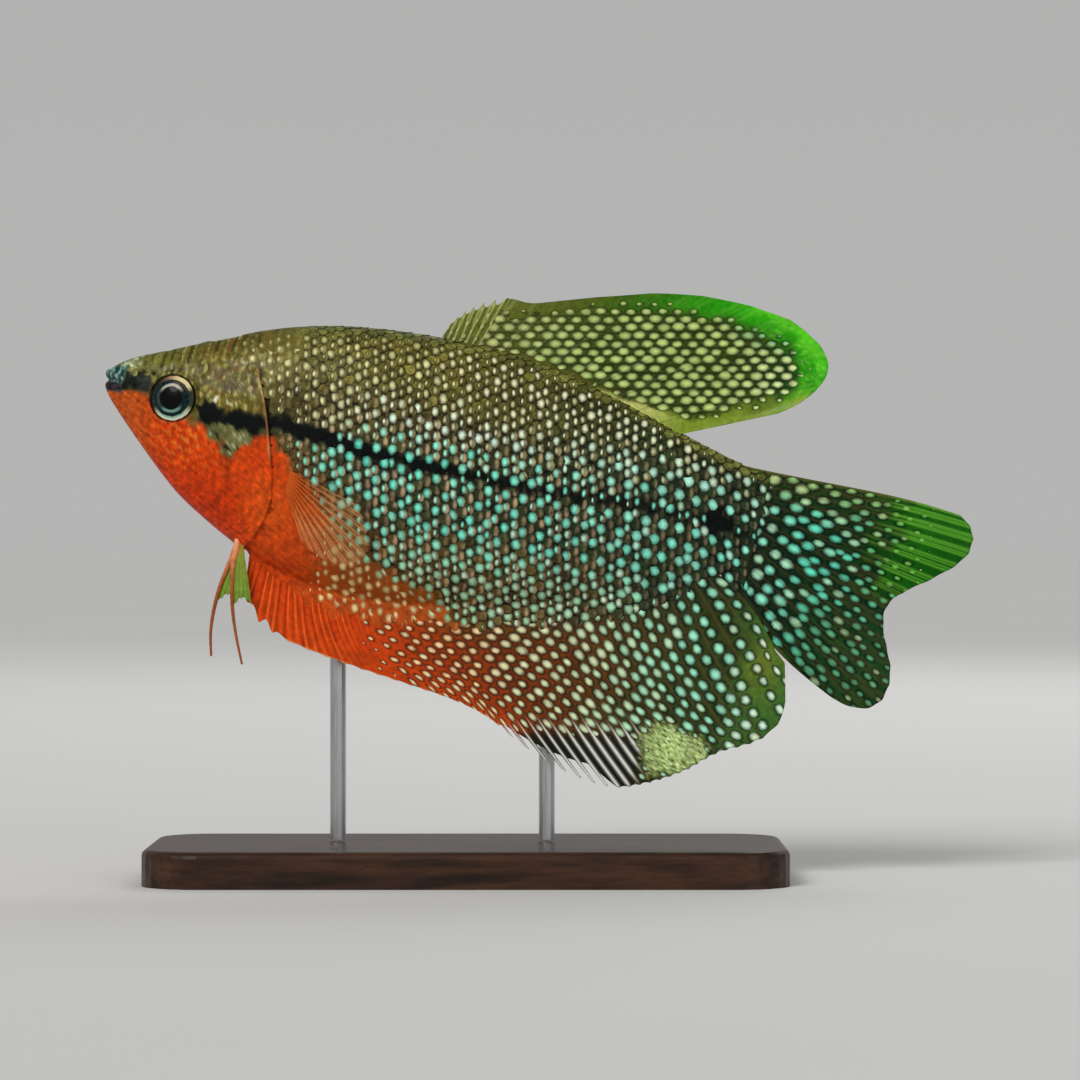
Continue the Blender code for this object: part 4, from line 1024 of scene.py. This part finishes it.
def anal_colours(at, number, reach, along, gap, on_ray, point):
    x, z = point[..., 0], point[..., 2]
    wave = ripple(x, z, 5, 31)
    from_edge = (1 - reach) * along / np.maximum(reach, 0.02)
    front = step(46, 36, x)
    uneven = 0.14 * wave + 0.12 * ripple(x * 1.2, z, 1.0, 34)
    patch = step(1.25, 0.75, np.hypot((x - 88.2) / 4.6, (z + 31.9) / 3.5) + uneven)
    lobe = step(92, 97.5, x + 0.8 * wave)
    # Free ends of the rays, white on a dark membrane.
    down = -33.7 + 0.19 * (x - 66.7) - z + 0.4 * wave
    ends = step(61, 66, x) * step(86, 83, x) * (1 - patch)
    threads, dark = step(-2.4, 0.4, down) * ends, step(-0.5, 1.6, down) * ends
    strands = np.cos(4 * math.pi * number) + 0.6 * np.cos(7 * math.pi * number + 0.4 * along)
    root = body_colours(x, curve(BELLY_LINE, x) + 1.0)[0]
    rim = step(0.4, 0.12, from_edge) * step(0.06, 0.12, at) * step(0.46, 0.42, at)
    ground = blend((206, 64, 8), ((124, 56, 14), step(40, 72, x + (reach - 0.5) * -16 + 1.5 * wave)),
                   ((198, 66, 10), step(0.5, 0.9, reach) * step(74, 64, x) * 0.85),
                   ((50, 62, 24), step(64, 90, x + 1.5 * wave)),
                   (root, step(0.25, 0.02, reach) * step(30, 40, x) * 0.8))
    ground = ground * (1 + 0.16 * front * strands)[..., None]
    ground = blend(ground, ((236, 132, 60), front * step(0.6, 1.5, strands) * 0.35), ((14, 20, 13), dark * 0.9),
                   ((154, 180, 100), patch), ((214, 234, 168), patch * flecks(-0.3, 0.7, x * 1.2, z, 0.55, 32)),
                   ((54, 78, 24), patch * flecks(0.7, 1.1, x * 1.3, z, 0.75, 33)), ((62, 114, 44), lobe * 0.85),
                   ((112, 122, 36), lobe * bell(x - 97.5, 3.0) * bell(z + 17.5, 4.5) * 0.8),
                   ((226, 176, 122), rim * 0.85))
    pearl = blend((242, 200, 148), ((216, 222, 174), step(54, 66, x - 4 * reach)),
                  ((150, 224, 188), step(64, 86, x + reach * -8)), ((212, 232, 178), patch),
                  ((216, 232, 204), lobe * 0.7))
    size = step(-2.5, 3.0, x - 38.5 - 10.0 * reach + 1.5 * wave) * (0.66 + 0.34 * step(42, 62, x))
    size *= (1 - 0.3 * step(0.80, 1.0, reach) * (1 - lobe)) * (1 - step(0.25, 0.75, dark))
    size *= (1 - 0.12 * lobe) * (1 - 0.85 * patch) * step(-0.02, 0.01, reach)
    rearward, low = step(58, 78, x), step(0.62, 0.92, reach) * step(80, 70, x)
    rx, ry = 0.72 - 0.22 * rearward - 0.14 * low + 0.12 * lobe, 0.50 + 0.24 * rearward + 0.3 * low
    line = blend((232, 96, 26), ((132, 64, 26), step(35, 60, x)), ((112, 86, 44), step(62, 82, x)),
                 ((246, 245, 232), threads))
    share = on_ray * (0.45 - 0.15 * step(40, 60, x)) * (1 - threads) + on_ray ** (1 - 0.7 * dark) * threads
    return coats_of(ground, 0.5 + 0.3 * patch, pearl, size, line, np.clip(share, 0, 1),
                    brick(number + 0.5, along, 2.05, gap, rx, ry))


def caudal_colours(at, number, reach, along, gap, on_ray, point):
    x, z = point[..., 0], point[..., 2]
    tip = step(107, 113, x + 1.2 * ripple(x, z, 5, 41)) * step(-7, -1, z)
    low = step(-3, -10, z) * step(97, 106, x)
    high = step(0.30, 0.05, at)
    edge = np.maximum(step(0.035, 0.0, at), step(0.94, 0.99, at) * step(0.85, 0.55, reach))
    ground = blend((24, 42, 22), ((10, 50, 18), step(92, 103, x)), ((52, 72, 26), high * 0.7), ((10, 88, 0), tip),
                   ((14, 60, 20), low), ((44, 76, 30), step(104, 110, x) * step(-10, -15, z) * 0.4),
                   ((104, 106, 40), edge * 0.85))
    pearl = blend((142, 228, 196), ((92, 216, 182), step(93, 102, x)), ((150, 192, 118), high),
                  ((84, 150, 104), np.maximum(low * 0.85, step(102, 110, x) * 0.5)), ((110, 190, 70), tip * 0.9))
    size = (1.0 - 0.3 * tip) * step(91.9, 92.9, x - 0.8 * step(-5.0, -6.2, z))
    size *= (1 - 0.2 * low * step(0.8, 1.0, reach)) * (1 - 0.9 * edge)
    size *= 1 - step(0.6, 0.95, tip) * step(114, 118, x)
    # Pearls stand closer and grow longer and thinner towards the free edge.
    tilt, row_pitch, places = -0.1, 2.36, np.arange(80, 130, 0.25)
    spacing = 2.0 - 0.7 * step(94, 106, places)
    across = x * math.cos(tilt) + z * math.sin(tilt)
    u = np.interp(across, places, np.cumsum(0.25 / spacing))
    v = (z * math.cos(tilt) - x * math.sin(tilt)) / row_pitch
    far = step(94, 100, x)
    rx = 0.80 + 0.10 * far - 0.26 * step(101, 109, x)
    ry = 0.68 - 0.15 * far - 0.14 * step(100, 108, x)
    spot = pearl_matrix(np.interp(across, places, spacing), row_pitch, rx, ry,
                        np.arctan2(-20.0 * (at - 0.25), 24.0) - tilt)
    return coats_of(ground, 0.5, pearl, size, blend((92, 78, 40), ((104, 184, 52), tip)),
                    on_ray * (0.3 + 0.35 * tip) * step(92, 94, x), (np.stack([v + u / 2, v - u / 2], -1), spot))


def pectoral_colours(at, number, reach, along, gap, on_ray, point):
    outer = step(0.0, 0.7, reach)
    ground = blend((210, 84, 22), ((204, 138, 80), outer))
    share = np.clip(on_ray * (0.95 - 0.3 * reach) + step(0.16, 0.0, reach), 0, 1) * 0.85
    return coats_of(ground, 0.4, ground, 0, blend((214, 96, 30), ((222, 178, 118), outer)), share,
                    brick(number, along, 1.2, gap, 0.3, 0.3))


def web_colours(at, number, reach, along, gap, on_ray, point):
    ground = blend((180, 104, 44), ((112, 150, 48), step(0.05, 0.4, reach + at * 0.3)))
    return coats_of(ground, 0.5, ground, 0, blend((196, 130, 68), ((160, 182, 84), reach)), on_ray * 0.6,
                    brick(number, along, 1.2, gap, 0.3, 0.3))


def anal_bow(at, r):
    return (step(0.94, 1.0, at) * np.sin(math.pi * np.minimum(r * 1.15, 1))
            - 1.2 * step(0.04, 0.3, at) * step(0.97, 0.88, at) * np.sin(math.pi * r))


def make_fins():
    make_fin("dorsal_fin_dressed", ("dorsal_fin",),
             pattern_look("dorsal_membrane_wet", jitter=0.2, net=0.72), spread_rays(6, 10, 0.15),
             on_base(*DORSAL_BASE, BACK_LINE, 1), edge_of(DORSAL_EDGE, 0.03), 64, dorsal_colours,
             sway=lambda at, r, p: -1.2 * r**2 * at, scallop=lambda at: 0.006 + 0.13 * step(0.17, 0.13, at),
             forks=(0.35, 0.7), cusp=0.8, width=0.15)
    make_fin("anal_fin_dressed", ("anal_fin",),
             pattern_look("anal_membrane_wet", jitter=0.25, net=0.8, fleck=0.4), spread_rays(13, 30, 0.32),
             on_base(*ANAL_BASE, BELLY_LINE, -1), edge_of(ANAL_EDGE), 64, anal_colours,
             sway=lambda at, r, p: -0.7 * r**2 * (1 + np.sin(9 * at)) * at,
             scallop=lambda at: 0.008 + 0.12 * step(0.1, 0.06, at) + 0.012 * bell(at - 0.2, 0.12), bow=anal_bow,
             threads=lambda at: step(0.41, 0.45, at) * step(0.60, 0.57, at), cusp=1.2, ridge_from=0.08, width=0.13)
    make_fin("caudal_fin_dressed", ("caudal_fin",),
             pattern_look("caudal_membrane_wet", jitter=0.42, net=0.85, fleck=0.35), np.arange(16) / 15,
             upright(CAUDAL_ROOT, CAUDAL_TOP, CAUDAL_TOP - CAUDAL_BOTTOM), edge_of(CAUDAL_EDGE, 0.05), 84,
             caudal_colours, sway=lambda at, r, p: 2.4 * r**2, scallop=lambda at: 0.005,
             bow=lambda at, r: (0.5 * (1 - at) - 1.1 * at) * np.sin(math.pi * r ** (1.8 - 0.6 * at)),
             forks=(0.3, 0.6), cusp=1.5, root_thick=0.16, ridge_from=0.12, sink=1.5, width=0.14)
    clear = pattern_look("pectoral_membrane_wet", clear=0.1)
    feeler = pattern_look("pelvic_wet")
    for name, side in (("left", -1), ("right", 1)):
        make_pectoral(name, side, clear)
        make_pelvic(name, side, feeler)


def make_pectoral(name, side, look):
    root = upright(PECTORAL_ROOT[0], PECTORAL_ROOT[1] + PECTORAL_ROOT_HEIGHT / 2, PECTORAL_ROOT_HEIGHT)

    def edge(at):
        angle = PECTORAL_SLOPE + PECTORAL_SPREAD * (0.86 - 1.9 * at)
        length = PECTORAL_LENGTH * (1 - 0.42 * np.abs(2 * at - 0.85) ** 1.6)
        return root(at) + np.stack([np.cos(angle) * length, np.zeros_like(at), np.sin(angle) * length], -1)

    make_fin(f"pectoral_fin_{name}_dressed", (f"pectoral_fin_{name}",), look,
             np.arange(11) / 10, root, edge, 36, pectoral_colours,
             sway=lambda at, r, p: side * (flank(p[..., 0], p[..., 2]) + 0.45 + PECTORAL_FLARE * r**1.3),
             scallop=lambda at: 0.03, forks=(0.4, 0.8), gaps=COARSE_GAPS, thick=0.08, root_thick=0.2, ridge=0.09,
             sink=0.2, width=0.09)


def make_pelvic(name, side, look):
    """The feeler as a tapered tube with a small web of short rays behind it."""
    line = np.array(PELVIC_THREADS[name], float)
    index = np.arange(len(line))
    xs, zs = np.stack([index, line[:, 0]], 1), np.stack([index, line[:, 1]], 1)
    rings, sides = 71, 14
    down = np.linspace(0, 1, rings)
    radius = (0.46 + (0.17 - 0.46) * down**0.7) * (1 + 0.05 * np.sin(np.arange(rings) * 2.2))
    a = 2 * math.pi * np.arange(sides) / sides
    x, y = np.outer(radius, np.cos(a)) + curve(xs, index[-1] * down)[:, None], np.outer(radius, np.sin(a))
    z = np.repeat(curve(zs, index[-1] * down)[:, None], sides, 1)
    points = np.stack([x, side * PELVIC_HALF_GAP + y, z], -1)
    points[0, :, 2] = underbelly(points[0, :, 0], points[0, :, 1]) + 0.3
    share = np.concatenate([np.repeat(down, sides), [0, 1]])
    ground = blend((236, 158, 108), ((168, 92, 44), step(0.0, 0.45, share)))
    ground = paint(ground * (0.96 + 0.04 * np.sin(share * 90))[:, None], 0.4)
    none = np.zeros((len(share), 4))
    build(f"pelvic_thread_{name}", capped(points, rear=points[-1].mean(0) + [0, 0, -0.15]), tube_faces(rings, sides),
          look, (f"pelvic_fin_{name}",), dict(ground=ground, pearl=none, rays=none, spot=none),
          dict(lattice=none[:, :2]))

    def root(at):
        x = line[0, 0] + 1.0 * at
        return np.stack([x, np.zeros_like(x), underbelly(x, PELVIC_HALF_GAP - 0.4)], -1)

    def edge(at):
        drop = 9.6 * (1 - 0.12 * np.sin(math.pi * at) - 0.12 * at)
        x = curve(xs, index[-1] * drop / (line[0, 1] - line[-1, 1])) + 2.8 * at
        return np.stack([x, np.zeros_like(at), line[0, 1] - drop], -1)

    make_fin(f"pelvic_web_{name}", (), look, np.arange(5) / 4, root, edge, 30, web_colours,
             sway=lambda at, r, p: side * PELVIC_HALF_GAP, scallop=lambda at: 0.06, gaps=COARSE_GAPS, thick=0.09,
             root_thick=0.15, ridge=0.1, sink=0.3, width=0.09)


# ---- eyes ----


def make_eyes():
    look = eye_look()
    rings, segments = 26, 64
    bulge = (EYE_RADIUS**2 + EYE_DOME**2) / (2 * EYE_DOME)
    turn = 2 * math.pi * np.arange(segments) / segments
    # The dome's rings from its middle out, then two rings behind it.
    radius = EYE_RADIUS * (np.arange(rings + 1) / rings) ** 0.85
    height = np.append(np.sqrt(bulge**2 - radius**2) - (bulge - EYE_DOME), [-0.35, -0.9])
    reach = np.append(radius, [EYE_RADIUS, EYE_RADIUS * 0.8])
    shown = 0.5 * np.append(radius / EYE_RADIUS, [1, 1])[:, None]
    disc = 0.5 + np.stack([shown * np.cos(turn - PITCH), shown * np.sin(turn - PITCH)], -1)
    for name, side in (("left", -1), ("right", 1)):
        ahead, above = ((flank(EYE_X + dx, EYE_Z + dz) - flank(EYE_X - dx, EYE_Z - dz)) / 4.8
                        for dx, dz in ((2.4, 0), (0, 2.4)))
        tx = unit(np.array([1, side * ahead, 0]))
        out = np.cross(tx, [0, side * above, 1])
        out *= np.sign(out[1]) * side / np.linalg.norm(out)
        tz = np.cross(out, tx)
        tz *= np.sign(tz[2])
        middle = np.array([EYE_X, side * (flank(EYE_X, EYE_Z) - 0.28), EYE_Z])
        circle = tx * np.cos(turn)[:, None] + tz * np.sin(turn)[:, None]
        points = middle + circle * reach[:, None, None] + out * height[:, None, None]
        total = (rings + 3) * segments
        last = [(total - segments + c, total - segments + (c + 1) % segments) for c in range(segments)]
        faces = grid_faces(rings + 3, segments, wrap=True, flip=side > 0)
        faces += [(total, b, a) if side > 0 else (total, a, b) for a, b in last]
        build(f"eye_{name}_dressed", np.append(points.reshape(-1, 3), [middle - out * 0.9], 0), faces, look,
              (f"eye_{name}",), maps=dict(disc=np.append(disc.reshape(-1, 2), [[0.5, 0.5]], 0)))


# ---- stand, floor, light and camera ----


def put(name, data):
    thing = bpy.data.objects.new(name, data)
    bpy.context.scene.collection.objects.link(thing)
    return thing


def dress_stand():
    wood, steel = wood_look(), steel_look()
    for name, look in (("stand_base", wood), ("stand_rod_front", steel), ("stand_rod_rear", steel)):
        for slot in bpy.data.objects[name].material_slots:
            slot.material = look


def make_room():
    look = Look("floor_pale", roughness=0.8)
    look.set("Base Color", look.noise(6).mix(hue(222, 222, 220), hue(228, 227, 225)))
    mesh = bpy.data.meshes.new("floor")
    half = 12.0
    mesh.from_pydata([(-half, -half, 0), (half, -half, 0), (half, half, 0), (-half, half, 0)], [], [(0, 1, 2, 3)])
    mesh.materials.append(look.material)
    put("floor", mesh)

    # A pale studio: its horizon is as bright as the lit floor, so that the two run together.
    world = bpy.data.worlds.new("studio")
    world.use_nodes = True
    tree = world.node_tree
    up = add_node(tree, "TexCoord", (), "Generated").parts("XYZ")[2]
    give(tree.nodes["Background"].inputs[0], (1.0, 1.0, 0.99, 1.0))
    give(tree.nodes["Background"].inputs[1],
         up.then("MapRange", (up, 0.0, 0.7, 0.46, 0.26), interpolation_type="SMOOTHSTEP"))
    bpy.context.scene.world = world
    bpy.context.scene.view_settings.view_transform = "Standard"

    for name, kind, place, spread, power in (("key", "SUN", (-0.45, -0.80, 0.75), "angle", 1.7),
                                             ("fill", "AREA", (0.75, -0.8, 0.30), "size", 1.2),
                                             ("back", "AREA", (0.35, 0.8, 0.8), "size", 2.6)):
        lamp = bpy.data.lights.new(name, kind)
        setattr(lamp, spread, 0.45 if kind == "SUN" else 0.6)
        lamp.energy = power
        thing = put(name, lamp)
        thing.location = place
        thing.rotation_euler = (Vector(LIGHT_AIM) - Vector(place)).to_track_quat("-Z", "Y").to_euler()


def make_camera():
    distance, sensor = 650.0, 36
    data = bpy.data.cameras.new("camera")
    data.sensor_width = sensor
    data.lens = sensor * distance / (PHOTO_SIDE * PIXEL)
    data.clip_start = 0.01
    camera = put("camera", data)
    x = -SNOUT_AHEAD + (PHOTO_SIDE / 2 - SNOUT_PIXEL[0]) * PIXEL
    z = SNOUT_HEIGHT - (PHOTO_SIDE / 2 - SNOUT_PIXEL[1]) * PIXEL
    camera.location = (x * MM, -distance * MM, z * MM)
    camera.rotation_euler = (math.pi / 2, 0, 0)
    bpy.context.scene.camera = camera


make_skin()
make_scales()
make_fins()
make_eyes()
dress_stand()
make_room()
make_camera()
